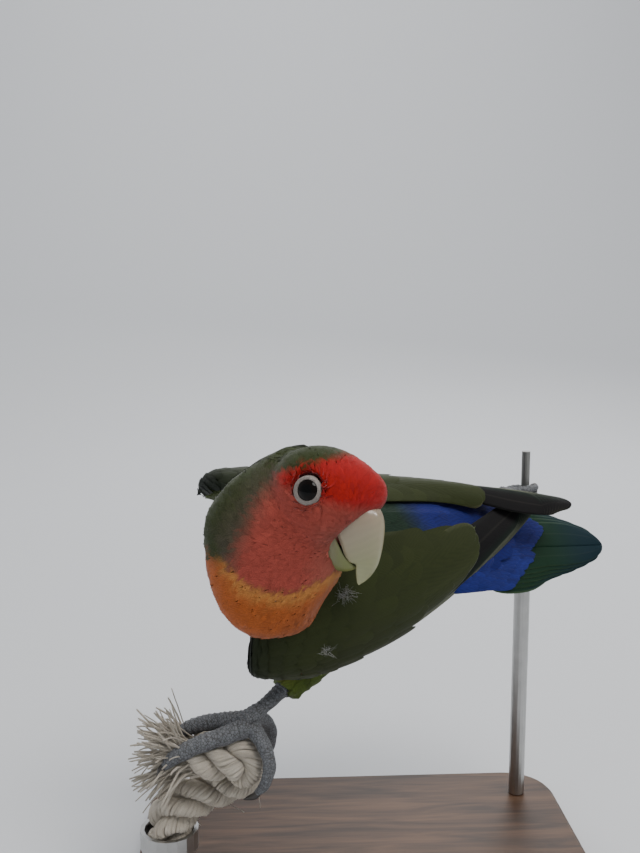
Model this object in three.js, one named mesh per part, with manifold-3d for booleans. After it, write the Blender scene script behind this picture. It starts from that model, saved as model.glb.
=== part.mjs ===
// Peach-faced lovebird: a still, life-size model that clings between a rope end and an upright wire.
// Millimetres, +Z up. The origin is the bottom centre of the stand's base.

import * as THREE from "three";
import { mergeVertices } from "three/addons/utils/BufferGeometryUtils.js";
import Module from "manifold-3d";

const wasm = await Module();
wasm.setup();

const GAP = 0.3;
const V = (x, y, z) => new THREE.Vector3(x, y, z);

// The trunk's own axes are x forward, y to the bird's left, z to its back.
// The head's own axes are x towards the bill, y to its left, z to the crown.
const TRUNK_MIDDLE = V(-8, -6, 90);
const TRUNK_TURN = turn(186, 4, -50);
const HEAD_MIDDLE = V(-12.6, -34, 116.6);
const HEAD_TURN = turn(-31, 13, 0);

function turn(yaw, pitch, roll) {
  const rad = THREE.MathUtils.degToRad;
  return new THREE.Euler(rad(roll), rad(pitch), rad(yaw), "ZYX");
}

function placement(middle, euler) {
  const quaternion = new THREE.Quaternion().setFromEuler(euler);
  return new THREE.Matrix4().compose(middle, quaternion, V(1, 1, 1));
}

const birdToWorld = placement(TRUNK_MIDDLE, TRUNK_TURN);
const worldToBird = birdToWorld.clone().invert();
const headToBird = worldToBird.clone().multiply(placement(HEAD_MIDDLE, HEAD_TURN));

// Closed solids

// Joins equal rings of points into one closed surface, with a fan over each end.
function skin(rings) {
  const sides = rings[0].length;
  const points = rings.flat();
  const index = [];
  for (let r = 0; r < rings.length - 1; r += 1) {
    for (let i = 0; i < sides; i += 1) {
      const a = r * sides + i;
      const b = r * sides + (i + 1) % sides;
      index.push(a, b, b + sides, a, b + sides, a + sides);
    }
  }
  for (const [ring, first] of [[rings[0], 0], [rings.at(-1), points.length - sides]]) {
    const middle = points.length;
    points.push(ring.reduce((sum, p) => sum.add(p), V(0, 0, 0)).divideScalar(sides));
    for (let i = 0; i < sides; i += 1) {
      const a = first + i;
      const b = first + (i + 1) % sides;
      index.push(...(first === 0 ? [middle, b, a] : [middle, a, b]));
    }
  }
  const geometry = new THREE.BufferGeometry().setFromPoints(points);
  geometry.setIndex(index);
  return outward(geometry);
}

// Turns a closed surface's faces outwards.
function outward(geometry) {
  const p = geometry.attributes.position;
  const index = geometry.index.array;
  let volume = 0;
  for (let i = 0; i < index.length; i += 3) {
    const [a, b, c] = [0, 1, 2].map((k) => V(0, 0, 0).fromBufferAttribute(p, index[i + k]));
    volume += a.dot(b.cross(c));
  }
  if (volume < 0) {
    for (let i = 0; i < index.length; i += 3) {
      [index[i], index[i + 1]] = [index[i + 1], index[i]];
    }
  }
  return geometry;
}

// An oval ring about a middle point, from its half-width and half-height vectors.
function oval(middle, across, up, sides) {
  return Array.from({ length: sides }, (_, i) => {
    const angle = (2 * Math.PI * i) / sides;
    return middle.clone()
      .addScaledVector(across, Math.cos(angle))
      .addScaledVector(up, Math.sin(angle));
  });
}

// A smooth curve through rows of numbers: it gives the row at a share of the way along.
function smooth(rows) {
  const columns = rows[0].map((_, c) => rows.map((row) => V(row[c], 0, 0)));
  const curves = columns.map((column) => new THREE.CatmullRomCurve3(column, false, "catmullrom", 0.5));
  return (share) => curves.map((curve) => curve.getPoint(share).x);
}

// The rows of a smooth curve at even steps.
function evenRows(rows, steps) {
  const curve = smooth(rows);
  return Array.from({ length: steps + 1 }, (_, i) => curve(i / steps));
}

// A round limb through rows of x, y, z and radius, made fatter all over by grow.
function limb(rows, sides, steps, grow = 0) {
  const thinnest = 0.25;
  const stations = evenRows(rows, steps).map(([x, y, z, radius]) => [V(x, y, z), radius]);
  const rings = stations.map(([middle, radius], i) => {
    const before = stations[Math.max(0, i - 1)][0];
    const after = stations[Math.min(steps, i + 1)][0];
    const axis = after.clone().sub(before).normalize();
    const side = axis.clone().cross(Math.abs(axis.z) < 0.8 ? V(0, 0, 1) : V(0, 1, 0)).normalize();
    const up = side.clone().cross(axis);
    const size = Math.max(thinnest, radius) + grow;
    return oval(middle, side.multiplyScalar(size), up.multiplyScalar(size), sides);
  });
  return skin(rings);
}

function toSolid(geometry) {
  const bare = geometry.clone();
  bare.deleteAttribute("normal");
  bare.deleteAttribute("uv");
  const merged = mergeVertices(bare, 1e-5);
  return new wasm.Manifold(new wasm.Mesh({
    numProp: 3,
    vertProperties: merged.attributes.position.array,
    triVerts: new Uint32Array(merged.index.array),
  }));
}

// A solid whose shortest edges are drawn together, so that cuts leave no slivers.
function withoutSlivers(solid) {
  const shortest = 0.04;
  const { vertProperties, triVerts } = solid.simplify(shortest).getMesh();
  const corner = (i) => V(...vertProperties.slice(3 * i, 3 * i + 3));
  const owner = Array.from({ length: vertProperties.length / 3 }, (_, i) => i);
  const ownerOf = (i) => (owner[i] === i ? i : ownerOf(owner[i]));
  const triangles = [];
  for (let i = 0; i < triVerts.length; i += 3) {
    triangles.push([triVerts[i], triVerts[i + 1], triVerts[i + 2]]);
  }
  for (const [a, b, c] of triangles) {
    for (const [from, to] of [[a, b], [b, c], [c, a]]) {
      if (corner(from).distanceTo(corner(to)) < shortest) owner[ownerOf(from)] = ownerOf(to);
    }
  }
  const kept = triangles
    .map((triangle) => triangle.map(ownerOf))
    .filter(([a, b, c]) => a !== b && b !== c && c !== a);
  return new wasm.Manifold(new wasm.Mesh({
    numProp: 3,
    vertProperties,
    triVerts: new Uint32Array(kept.flat()),
  }));
}

function toGeometry(solid) {
  const mesh = withoutSlivers(solid).getMesh();
  const geometry = new THREE.BufferGeometry();
  geometry.setAttribute("position", new THREE.BufferAttribute(mesh.vertProperties, 3));
  geometry.setIndex(new THREE.BufferAttribute(mesh.triVerts, 1));
  geometry.computeVertexNormals();
  return geometry;
}

function joined(geometries) {
  return geometries.map(toSolid).reduce((whole, solid) => whole.add(solid));
}

// The largest body of a cut solid, so that no loose sliver is kept.
function largest(solid) {
  return solid.decompose().reduce((best, body) => (body.volume() > best.volume() ? body : best));
}

// Everything on the side of a plane that its normal points to.
function beyond(point, normal) {
  const reach = 300;
  const block = new THREE.BoxGeometry(reach, reach, reach).translate(0, 0, reach / 2);
  const facing = new THREE.Quaternion().setFromUnitVectors(V(0, 0, 1), normal.clone().normalize());
  block.applyQuaternion(facing).translate(point.x, point.y, point.z);
  return toSolid(block);
}

// Trunk: each row is a place along the body, the half-width and the height of the back and the belly

const TRUNK_ROWS = [
  [38, 4, 7, 0],
  [35.5, 10, 12, -5],
  [28, 17.5, 17, -12.5],
  [15, 23, 19.5, -18.5],
  [0, 24, 20, -21],
  [-15, 20.5, 17.5, -18],
  [-28, 15, 14.5, -12],
  [-38, 11, 9.5, -7],
  [-47, 8.5, 4.5, -4],
];

function trunkShape(grow) {
  const rings = evenRows(TRUNK_ROWS, 15).map(([place, width, back, belly]) => {
    const up = V(0, 0, (back - belly) / 2 + grow);
    return oval(V(place, 0, (back + belly) / 2), V(0, width + grow, 0), up, 24);
  });
  return skin(rings);
}

// Neck: puffed throat and nape between the shoulders and the turned head

// Each row is a middle point, a half-length along the body and a half-width across it.
const NECK_ROWS = [
  [15, 2, -2, 14, 17],
  [18, 3, 8, 18, 21.5],
  [19.5, 3.5, 17, 18, 23],
  [17, 1, 25, 18, 21.5],
  [13, -3, 33, 17, 18],
  [10, -5.5, 40, 12, 13.5],
];

function neckShape(grow) {
  const rings = evenRows(NECK_ROWS, 11).map(([x, y, z, long, wide]) => (
    oval(V(x, y, z), V(long + grow, 0, 0), V(0, wide + grow, 0), 24)
  ));
  return skin(rings);
}

// Head: a rounded skull with a steep forehead, full cheeks and a hollow where the bill springs

const SKULL = { length: 16, width: 12, height: 13.5 };
const SWELLS = [
  { at: V(0.75, 0, 0.65), size: 0.09, spread: 0.45 },
  { at: V(0.1, 0.6, -0.75), size: 0.14, spread: 0.5 },
  { at: V(0.1, -0.6, -0.75), size: 0.14, spread: 0.5 },
  { at: V(-0.6, 0, -0.8), size: 0.1, spread: 0.6 },
  { at: V(0.82, 0, -0.57), size: -0.36, spread: 0.62 },
];

function headShape(grow) {
  const geometry = new THREE.SphereGeometry(1, 26, 15).rotateX(Math.PI / 2);
  const p = geometry.attributes.position;
  for (let i = 0; i < p.count; i += 1) {
    const way = V(0, 0, 0).fromBufferAttribute(p, i).normalize();
    let swell = 1;
    for (const { at, size, spread } of SWELLS) {
      const off = way.distanceTo(at.clone().normalize());
      swell += size * Math.exp(-((off / spread) ** 2));
    }
    const point = way.clone().multiply(V(SKULL.length, SKULL.width, SKULL.height));
    point.multiplyScalar(swell).addScaledVector(way, grow);
    p.setXYZ(i, point.x, point.y, point.z);
  }
  return geometry.applyMatrix4(headToBird);
}

const EYE = { radius: 3.8, at: V(-0.2, 9, 3.8) };

function eyeBall(side, radius) {
  const ball = new THREE.SphereGeometry(radius, 14, 9);
  return ball.translate(EYE.at.x, side * EYE.at.y, EYE.at.z);
}

// Tail: each row is a place, a sideways shift, a half-width, a half-thickness and a height

const TAIL_ROWS = [
  [-33, 0, 14, 7, 0],
  [-42, 0, 14, 4.6, -0.5],
  [-50, 0, 13.2, 2.6, -2],
  [-60, -0.4, 12.2, 1.5, -3.5],
  [-68, 0, 10.4, 1.1, -5],
  [-76, 0.2, 6.4, 0.9, -6.3],
  [-82, 0.6, 2.6, 0.7, -7.2],
  [-84.5, 0.8, 0.6, 0.4, -7.6],
];

function tailShape() {
  const rings = evenRows(TAIL_ROWS, 12).map(([place, shift, width, thick, height]) => (
    oval(V(place, shift, height), V(0, width, 0), V(0, 0, thick), 16)
  ));
  return skin(rings);
}

// Flesh: trunk, neck, head and tail as one, which the thin cuts then part

const NECK_CUT = { at: V(15, 2, 11), way: V(0.36, 0.02, 0.93) };
const HEAD_CUT = { at: V(9, -2.5, 30), way: V(-0.35, -0.3, 0.88) };
const TAIL_CUT = { at: V(-37, 0, 0), way: V(-1, 0, 0) };

function flesh(grow) {
  return joined([trunkShape(grow), neckShape(grow), headShape(grow), tailShape()]);
}

// The part of a solid on the far side of one cut and the near side of others.
function between(solid, fars, nears) {
  let piece = solid;
  for (const { at, way } of fars) {
    const step = way.clone().setLength(GAP / 2);
    piece = piece.intersect(beyond(at.clone().add(step), way));
  }
  for (const { at, way } of nears) {
    const step = way.clone().setLength(-GAP / 2);
    piece = piece.intersect(beyond(at.clone().add(step), way.clone().negate()));
  }
  return largest(piece);
}

// Wings: folded, from the wrist over the forearm, elbow and coverts to the tips of the primaries

// Each row is a point of the low leading edge, one over the side, one of the edge by the back, and a depth.
const LEFT_WING = [
  [28, 25, -1, 29.5, 26, 2, 28, 23.5, 5, 2],
  [24.5, 27, -5, 28, 33, 6, 24, 18, 16, 5.5],
  [9, 28.3, -9.6, 10, 34, 9.5, 3, 10.5, 22.5, 5],
  [-12, 23, -8, -12, 29, 9, -16, 6.5, 19, 3.6],
  [-32, 12.5, -2.5, -32, 18, 8.5, -34, 0.5, 15, 2],
  [-50, -1, 5.2, -50, 0.5, 9.8, -50, -9, 10.1, 1.2],
  [-62, -11, 7, -62, -11.5, 7.8, -62, -12, 7.9, 0.7],
];
const RIGHT_WING = [
  [35, -27, 0, 38, -28, 3, 35, -25, 6, 3],
  [29, -29, -6, 33, -35, 9, 26, -22, 17, 8],
  [10, -29, -9, 10, -35.5, 13, 4, -15.8, 19, 7.5],
  [-12, -25, -6.5, -12, -29.5, 13, -15, -15, 15.6, 5.5],
  [-32, -20.8, 0.5, -32, -22, 14.5, -34, -12.6, 12.8, 3],
  [-53, -15, 8.8, -53, -14.2, 14.2, -54, -5.2, 11.9, 1.6],
  [-71, -6.5, 10.5, -71, -6, 11.5, -71, -4.6, 11.3, 0.9],
];
const FLIGHT_CUT = { at: V(-41, 0, 0), way: V(-1, 0, 0) };

// One section: an outer bow from edge to edge, and an inner bow sunk towards the body.
function wingRing([a, b, c, d, e, f, g, h, i, depth]) {
  const bow = new THREE.QuadraticBezierCurve3(V(a, b, c), V(d, e, f), V(g, h, i));
  const heart = V(a, 0, -2);
  const outer = bow.getPoints(7);
  const inner = outer.map((point, k) => {
    const sink = depth * (0.45 + 0.55 * Math.sin((Math.PI * k) / 7));
    return point.clone().addScaledVector(heart.clone().sub(point).normalize(), sink);
  });
  return [...outer, ...inner.reverse()];
}

function wingShape(rows) {
  return skin(evenRows(rows, 22).map(wingRing));
}

// Bill: both halves spring from the face, and the upper one hooks over the lower

function billShape(rows, grow = 0) {
  const rings = rows.map(([front, height, half, thick, lean]) => {
    const up = V(Math.sin(lean), 0, Math.cos(lean)).multiplyScalar(thick + grow);
    return oval(V(front, 0, height), V(0, half + grow, 0), up, 16);
  });
  return skin(rings).applyMatrix4(headToBird);
}

// Rows of place forward, height, half-width, half-thickness and lean of the section
const UPPER_BILL = [
  [5, -2.2, 5.6, 4.4, 0],
  [9.5, -2.2, 6, 4.4, 0.15],
  [13.2, -3.2, 5.6, 4.9, 0.5],
  [14.4, -5.6, 4.9, 4.5, 0.95],
  [15.2, -8.8, 4, 3.6, 1.35],
  [15.9, -12, 3, 2.4, 1.6],
  [15.9, -15.2, 1.9, 1.5, 1.85],
  [15.6, -17.6, 0.9, 0.7, 2],
  [15.4, -19.2, 0.25, 0.25, 2],
];
const LOWER_BILL = [
  [3, -11, 5, 3.4, 0.5],
  [7, -12, 5, 3.6, 0.7],
  [9.8, -13.4, 4.4, 3, 0.95],
  [11.8, -14.8, 3.4, 2, 1.2],
  [13, -16, 2.2, 1, 1.4],
];

// Legs: feathered thighs, then scaly shanks with two toes forward and two back

// A limb's rows are x, y, z and radius.
const THIGHS = {
  left: [[0, 12, -8, 10], [9, 20, -12, 9], [15, 26, -13, 6.5], [20.5, 31.5, -13.2, 2.6]],
  right: [[-4, -10, -8, 10], [-18, -14, -11, 8.5], [-30, -17, -10.5, 6], [-41, -19, -9.5, 2.6]],
};
const ANKLES = {
  left: { at: V(18.8, 30, -13.2), way: V(1, 0.9, 0) },
  right: { at: V(-38.5, -18.6, -9.6), way: V(-1, -0.15, 0.1) },
};

// The left foot's shank, its two front toes and its two hind toes, each toe down to its claw's tip.
const LEFT_FOOT = [
  [[-22, -15.5, 58.4, 2.6], [-24.5, -17.4, 56.8, 2.3], [-28.5, -20.6, 54.4, 2], [-33, -23.6, 51.8, 2.8],
    [-35.5, -24.6, 51, 2.2]],
  [[-32.5, -23, 52, 2.6], [-38.5, -21.5, 53, 2.1], [-44.5, -21, 52.4, 2], [-49.5, -21.5, 49.6, 1.8],
    [-52, -22, 46.4, 1.1], [-52.4, -22.4, 43, 0.3]],
  [[-33, -25.4, 50.6, 2.6], [-40, -27.5, 49.4, 2.2], [-47, -28.6, 47.4, 2.1], [-53, -28.6, 43.6, 1.8],
    [-56, -28, 40, 1.1], [-56.4, -26.8, 36.6, 0.3]],
  [[-32.4, -25.4, 50.6, 2.5], [-29, -28.4, 46.4, 2], [-27.4, -29.4, 41, 1.8], [-28.6, -29.6, 35.8, 1.5],
    [-31.4, -29, 32, 0.9], [-34.6, -28, 30.4, 0.3]],
  [[-32, -22, 51, 2.5], [-28.4, -16, 47.4, 2], [-26.8, -12.8, 42, 1.7], [-28, -11.2, 36, 1.4],
    [-31, -10.8, 32.2, 0.9], [-34.4, -11, 30.6, 0.3]],
];

// Perch: a rope end that doubles back on itself, frayed out at its free end, and a length of wire

const ROPE_RADIUS = 6.3;
const ROPE_PATH = [[-56, -19, 14], [-56, -19, 17.5], [-55.4, -19, 21], [-49, -18.5, 27], [-40.5, -18, 30.6],
  [-34, -20.5, 35.5], [-35.5, -24.2, 41], [-42, -24.6, 41.6], [-49, -23.6, 41.6]];
const FRAY_ROWS = [[-44, -24, 41.6, 5.6], [-51, -23, 42.6, 6.6], [-58, -22, 44.6, 9.4],
  [-64, -21.5, 46.4, 11]];
const WIRE = { x: 53.6, y: 18.5, radius: 1.3, bottom: 78, top: 119 };

function ropeShape(grow) {
  const tube = limb(ROPE_PATH.map((point) => [...point, ROPE_RADIUS]), 12, 15, grow);
  return joined([tube, limb(FRAY_ROWS, 12, 4, grow)]);
}

const GRIP_HEIGHT = 106.6;
const TOE_RADIUS = 1.5;

// A toe of the right foot, which hooks round the upright wire by a turn and a rise.
function hookedToe(turned, rise) {
  const steps = 6;
  const tight = WIRE.radius + GAP + TOE_RADIUS - 0.15;
  const slack = 3.4;
  const rows = Array.from({ length: steps + 1 }, (_, i) => {
    const share = i / steps;
    const angle = Math.PI + turned * share;
    const reach = tight + slack * (1 - share) ** 2;
    const height = GRIP_HEIGHT + rise * Math.sin(Math.PI * Math.min(0.5, share));
    const radius = TOE_RADIUS - 1.1 * share ** 1.5;
    return [WIRE.x + reach * Math.cos(angle), WIRE.y + reach * Math.sin(angle), height, radius];
  });
  return limb(rows, 6, 7);
}

// The part of a foot that is beyond its ankle's cut, which is given in the trunk's axes.
function belowAnkle(foot, { at, way }) {
  const from = at.clone().applyMatrix4(birdToWorld);
  const to = at.clone().add(way).applyMatrix4(birdToWorld);
  return between(foot, [{ at: from, way: to.sub(from) }], []);
}

function rightFoot() {
  const heel = V(-36, -18.2, -9.8).applyMatrix4(birdToWorld);
  const palm = V(WIRE.x - 6, WIRE.y + 1, GRIP_HEIGHT);
  const middle = heel.clone().lerp(palm, 0.55);
  const shank = limb([[...heel, 2.4], [...middle, 1.8], [...palm, 2.3]], 8, 4);
  const toes = [hookedToe(3.9, 2.4), hookedToe(4.1, -0.2), hookedToe(-3.9, -2.6), hookedToe(-3.7, 0.9)];
  return belowAnkle(joined([shank, ...toes]), ANKLES.right);
}

function leftFoot() {
  const foot = joined(LEFT_FOOT.map((rows) => limb(rows, 7, 7)));
  return belowAnkle(foot.subtract(ropeShape(GAP)), ANKLES.left);
}

// Stand: a flat base, a short post with a cup for the rope, and a post that carries the wire

const BASE = { long: 132, deep: 66, thick: 5, corner: 14, bevel: 1 };
const POST_RADIUS = 2.5;
const CUP = { inner: ROPE_RADIUS + 0.8, wall: 1.2, floor: 1.5, deep: 4 };
const CUP_BOTTOM = ROPE_PATH[0][2] - CUP.floor - GAP;

function baseShape() {
  const { long, deep, thick, corner, bevel } = BASE;
  const outline = new THREE.Shape();
  const corners = [[1, -1], [1, 1], [-1, 1], [-1, -1]];
  corners.forEach(([right, back], k) => {
    const start = (k - 1) * (Math.PI / 2);
    const x = right * (long / 2 - corner);
    const y = back * (deep / 2 - corner);
    outline.absarc(x, y, corner, start, start + Math.PI / 2);
  });
  return new THREE.ExtrudeGeometry(outline, {
    depth: thick - 2 * bevel,
    bevelEnabled: true,
    bevelThickness: bevel,
    bevelSize: bevel,
    bevelOffset: -bevel,
    bevelSegments: 1,
    curveSegments: 4,
  }).translate(0, 0, bevel);
}

// An upright post between two heights.
function postShape(x, y, bottom, top) {
  const post = new THREE.CylinderGeometry(POST_RADIUS, POST_RADIUS, top - bottom, 16).rotateX(Math.PI / 2);
  return post.translate(x, y, (bottom + top) / 2);
}

// The cup that the rope's lower end stands in.
function cupShape() {
  const { inner, wall, floor, deep } = CUP;
  const outer = inner + wall;
  const rim = floor + deep;
  const profile = [[0, 0], [outer, 0], [outer, rim], [inner, rim], [inner, floor], [0, floor]];
  const lathe = new THREE.LatheGeometry(profile.map(([x, y]) => new THREE.Vector2(x, y)), 18);
  return lathe.rotateX(Math.PI / 2).translate(ROPE_PATH[0][0], ROPE_PATH[0][1], CUP_BOTTOM);
}

// Scene graph

function finish(color, roughness, metalness = 0) {
  return new THREE.MeshStandardMaterial({ color, roughness, metalness });
}

const green = finish(0x4f6a25, 0.75);
const leaf = finish(0x7d9a3a, 0.75);
const peach = finish(0xd8604a, 0.75);
const orange = finish(0xd98a45, 0.75);
const flight = finish(0x2a2722, 0.6);
const teal = finish(0x1f6a5a, 0.65);
const horn = finish(0xd6cfa8, 0.35);
const scaly = finish(0x8a8f92, 0.7);
const pupil = finish(0x120c0a, 0.05);
const cotton = finish(0xd9cdb8, 0.9);
const zinc = finish(0x8d8d88, 0.5, 0.8);
const steel = finish(0xb4b4b4, 0.35, 1);
const walnut = finish(0x4a3020, 0.5);

function piece(name, geometry, material) {
  const mesh = new THREE.Mesh(geometry, material);
  mesh.name = name;
  return mesh;
}

function headGroup() {
  const group = new THREE.Group();
  headToBird.decompose(group.position, group.quaternion, group.scale);
  for (const [name, side] of [["left", 1], ["right", -1]]) {
    group.add(piece(`eye_${name}`, toGeometry(toSolid(eyeBall(side, EYE.radius))), pupil));
  }
  return group;
}

function bird() {
  const group = new THREE.Group();
  group.position.copy(TRUNK_MIDDLE);
  group.rotation.copy(TRUNK_TURN);
  const add = (name, solid, material) => group.add(piece(name, toGeometry(solid), material));

  const sockets = [-1, 1].map((side) => eyeBall(side, EYE.radius + GAP).applyMatrix4(headToBird));
  const whole = flesh(0).subtract(joined(sockets));
  add("head", between(whole, [HEAD_CUT], []), peach);
  add("neck", between(whole, [NECK_CUT], [HEAD_CUT]), orange);
  add("trunk", between(whole, [], [NECK_CUT, TAIL_CUT]), green);
  add("tail", between(whole, [TAIL_CUT], []), teal);

  const around = flesh(GAP + 0.1);
  const wings = { left: toSolid(wingShape(LEFT_WING)), right: toSolid(wingShape(RIGHT_WING)) };
  for (const [name, wing] of Object.entries(wings)) {
    const outside = wing.subtract(around);
    add(`wing_${name}`, between(outside, [], [FLIGHT_CUT]), green);
    add(`primaries_${name}`, between(outside, [FLIGHT_CUT], []), flight);
    const thigh = toSolid(limb(THIGHS[name], 14, 7)).subtract(wings.left).subtract(wings.right);
    add(`thigh_${name}`, between(thigh.subtract(around), [], [ANKLES[name]]), leaf);
  }

  const lower = toSolid(billShape(LOWER_BILL)).subtract(toSolid(billShape(UPPER_BILL, GAP)));
  add("bill_upper", largest(toSolid(billShape(UPPER_BILL)).subtract(around)), horn);
  add("bill_lower", largest(lower.subtract(around)), horn);

  group.add(headGroup());
  return group;
}

function perchAndFeet() {
  const group = new THREE.Group();
  const { x, y, radius, bottom, top } = WIRE;
  const rod = new THREE.CylinderGeometry(radius, radius, top - bottom, 16).rotateX(Math.PI / 2);
  group.add(piece("perch_rope", toGeometry(ropeShape(0)), cotton));
  group.add(piece("perch_wire", rod.translate(x, y, (top + bottom) / 2), zinc));
  group.add(piece("foot_left", toGeometry(leftFoot()), scaly));
  group.add(piece("foot_right", toGeometry(rightFoot()), scaly));
  return group;
}

function stand() {
  const group = new THREE.Group();
  const [x, y] = ROPE_PATH[0];
  const foot = BASE.thick + GAP;
  group.add(piece("stand_base", baseShape(), walnut));
  group.add(piece("stand_cup", cupShape(), steel));
  group.add(piece("stand_post_cup", postShape(x, y, foot, CUP_BOTTOM - GAP), steel));
  group.add(piece("stand_post_wire", postShape(WIRE.x, WIRE.y, foot, WIRE.bottom - GAP), steel));
  return group;
}

const group = new THREE.Group();
group.add(bird(), perchAndFeet(), stand());

export default group;
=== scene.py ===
"""A life-size peach-faced lovebird that clings between a rope end and an upright wire, on a stand."""

import heapq
import math

import bmesh
import bpy
import numpy as np
from mathutils import Euler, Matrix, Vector
from mathutils.bvhtree import BVHTree


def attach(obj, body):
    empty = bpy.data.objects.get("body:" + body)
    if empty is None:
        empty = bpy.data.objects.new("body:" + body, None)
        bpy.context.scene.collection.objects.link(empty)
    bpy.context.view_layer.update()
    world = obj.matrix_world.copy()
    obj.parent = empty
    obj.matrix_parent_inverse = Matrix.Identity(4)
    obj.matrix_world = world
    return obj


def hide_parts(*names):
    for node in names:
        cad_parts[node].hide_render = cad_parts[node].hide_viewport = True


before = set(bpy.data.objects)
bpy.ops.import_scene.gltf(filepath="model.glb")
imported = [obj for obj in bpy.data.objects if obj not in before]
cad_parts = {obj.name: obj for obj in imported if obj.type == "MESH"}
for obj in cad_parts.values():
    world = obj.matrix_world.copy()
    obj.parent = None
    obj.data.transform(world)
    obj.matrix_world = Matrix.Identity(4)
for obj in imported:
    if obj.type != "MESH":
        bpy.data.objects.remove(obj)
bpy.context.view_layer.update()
MM = 0.001

# View: the eye point stands about 29 cm from the bird, a little above it, and looks 8 degrees down.
# The lens gives the tall frame of a phone picture.
EYE_POINT = (-27.06, -286.5, 171.9)
LOOK_RIGHT = 3.0
LOOK_DOWN = 8.3
LENS = 42.2

camera_data = bpy.data.cameras.new("camera")
camera_data.lens = LENS
camera_data.sensor_width = 36
camera_data.clip_start = 0.01
camera = bpy.data.objects.new("camera", camera_data)
camera.location = Vector(EYE_POINT) * MM
camera.rotation_euler = Euler((math.radians(90 - LOOK_DOWN), 0, math.radians(-LOOK_RIGHT)))
bpy.context.collection.objects.link(camera)
bpy.context.scene.camera = camera

# Studio: a pale floor that sweeps up behind into a plain backdrop.
# Broad soft lights stand at the upper right, the left and behind.
SWEEP_HALF = 1.6
SWEEP_FRONT = -1.4
SWEEP_BACK = 0.55
SWEEP_CURVE = 1.6
SWEEP_TOP = 3.2
SWEEP_STEPS = 12
PAPER_GREY = (0.62, 0.63, 0.65, 1)
ROOM_GREY = (0.75, 0.78, 0.82, 1)
ROOM_LIGHT = 0.42
BIRD_PLACE = (0, 0, 0.09)


def linked(name, data):
    """A new object with this data, in the scene."""
    made = bpy.data.objects.new(name, data)
    bpy.context.collection.objects.link(made)
    return made


def new_material(name):
    """A node material, its node tree and its Principled shader."""
    made = bpy.data.materials.new(name)
    made.use_nodes = True
    return made, made.node_tree, made.node_tree.nodes["Principled BSDF"]


def mesh_piece(name, points, faces, material):
    """A smooth mesh object from points in millimetres."""
    data = bpy.data.meshes.new(name)
    data.from_pydata((np.asarray(points) * MM).tolist(), [], faces)
    data.polygons.foreach_set("use_smooth", [True] * len(data.polygons))
    data.materials.append(material)
    data.update()
    return linked(name, data)


def sweep_points():
    """The floor's points, in millimetres, and its faces, from front to top."""
    profile = [(SWEEP_FRONT, 0.0), (SWEEP_BACK, 0.0)]
    for step in range(1, SWEEP_STEPS + 1):
        angle = math.radians(90 * step / SWEEP_STEPS)
        profile.append((SWEEP_BACK + SWEEP_CURVE * math.sin(angle), SWEEP_CURVE * (1 - math.cos(angle))))
    profile.append((SWEEP_BACK + SWEEP_CURVE, SWEEP_TOP))
    points = [(side * SWEEP_HALF / MM, y / MM, z / MM) for y, z in profile for side in (-1, 1)]
    faces = [(2 * i, 2 * i + 1, 2 * i + 3, 2 * i + 2) for i in range(len(profile) - 1)]
    return points, faces


paper, _, paper_shader = new_material("pale_paper")
paper_shader.inputs["Base Color"].default_value = PAPER_GREY
paper_shader.inputs["Roughness"].default_value = 0.9
floor = mesh_piece("floor", *sweep_points(), paper)


def soft_light(name, place, aim, size, power, colour=(1.0, 1.0, 1.0), gloss=True, matte=True):
    """A round soft light that points from its place at its aim, in metres and watts."""
    data = bpy.data.lights.new(name, "AREA")
    data.shape = "DISK"
    data.size = size
    data.energy = power
    data.color = colour
    light = linked(name, data)
    light.location = place
    light.rotation_euler = (Vector(aim) - Vector(place)).to_track_quat("-Z", "Y").to_euler()
    light.visible_glossy = gloss
    light.visible_diffuse = matte


soft_light("light_high", (0.28, -0.30, 0.75), BIRD_PLACE, 0.45, 4.6, (1.0, 0.98, 0.95))
soft_light("light_left", (-0.75, -0.35, 0.35), BIRD_PLACE, 0.6, 1.8, (0.93, 0.96, 1.0), gloss=False)
soft_light("light_glint", (0.40, -0.17, 0.41), (-0.01, -0.04, 0.115), 0.13, 1.0, matte=False)
soft_light("light_back", (0.2, 0.7, 0.6), (0, 0, 0.1), 0.5, 2.6)
soft_light("light_wall", (0, 0.8, 1.9), (0, 1.9, 0.5), 1.2, 26)

world = bpy.data.worlds.new("studio")
world.use_nodes = True
room = world.node_tree.nodes["Background"]
room.inputs["Color"].default_value = ROOM_GREY
room.inputs["Strength"].default_value = ROOM_LIGHT
bpy.context.scene.world = world

# Body axes: x forward, y to the bird's left, z to its back, for the trunk.
# The head's own are x to the bill, y to its left, z to the crown; it looks back over the left shoulder.
TRUNK_MIDDLE = (-8, -6, 90)
TRUNK_TURN = (186, 4, -50)
HEAD_MIDDLE = (-12.6, -34, 116.6)
HEAD_TURN = (-31, 13, 0)


class Axes:
    """A turned set of axes, in millimetres."""

    def __init__(self, middle, turn):
        yaw, pitch, roll = (math.radians(angle) for angle in turn)
        self.matrix = np.array(Euler((roll, pitch, yaw), "XYZ").to_matrix())
        self.middle = np.array(middle, float)

    def out(self, points):
        """Points of these axes in the row's frame."""
        return np.asarray(points, float) @ self.matrix.T + self.middle

    def into(self, points):
        """Points of the row's frame in these axes."""
        return (np.asarray(points, float) - self.middle) @ self.matrix

    def turn_out(self, ways):
        """Ways of these axes in the row's frame."""
        return np.asarray(ways, float) @ self.matrix.T


trunk_axes = Axes(TRUNK_MIDDLE, TRUNK_TURN)
head_axes = Axes(HEAD_MIDDLE, HEAD_TURN)

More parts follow.
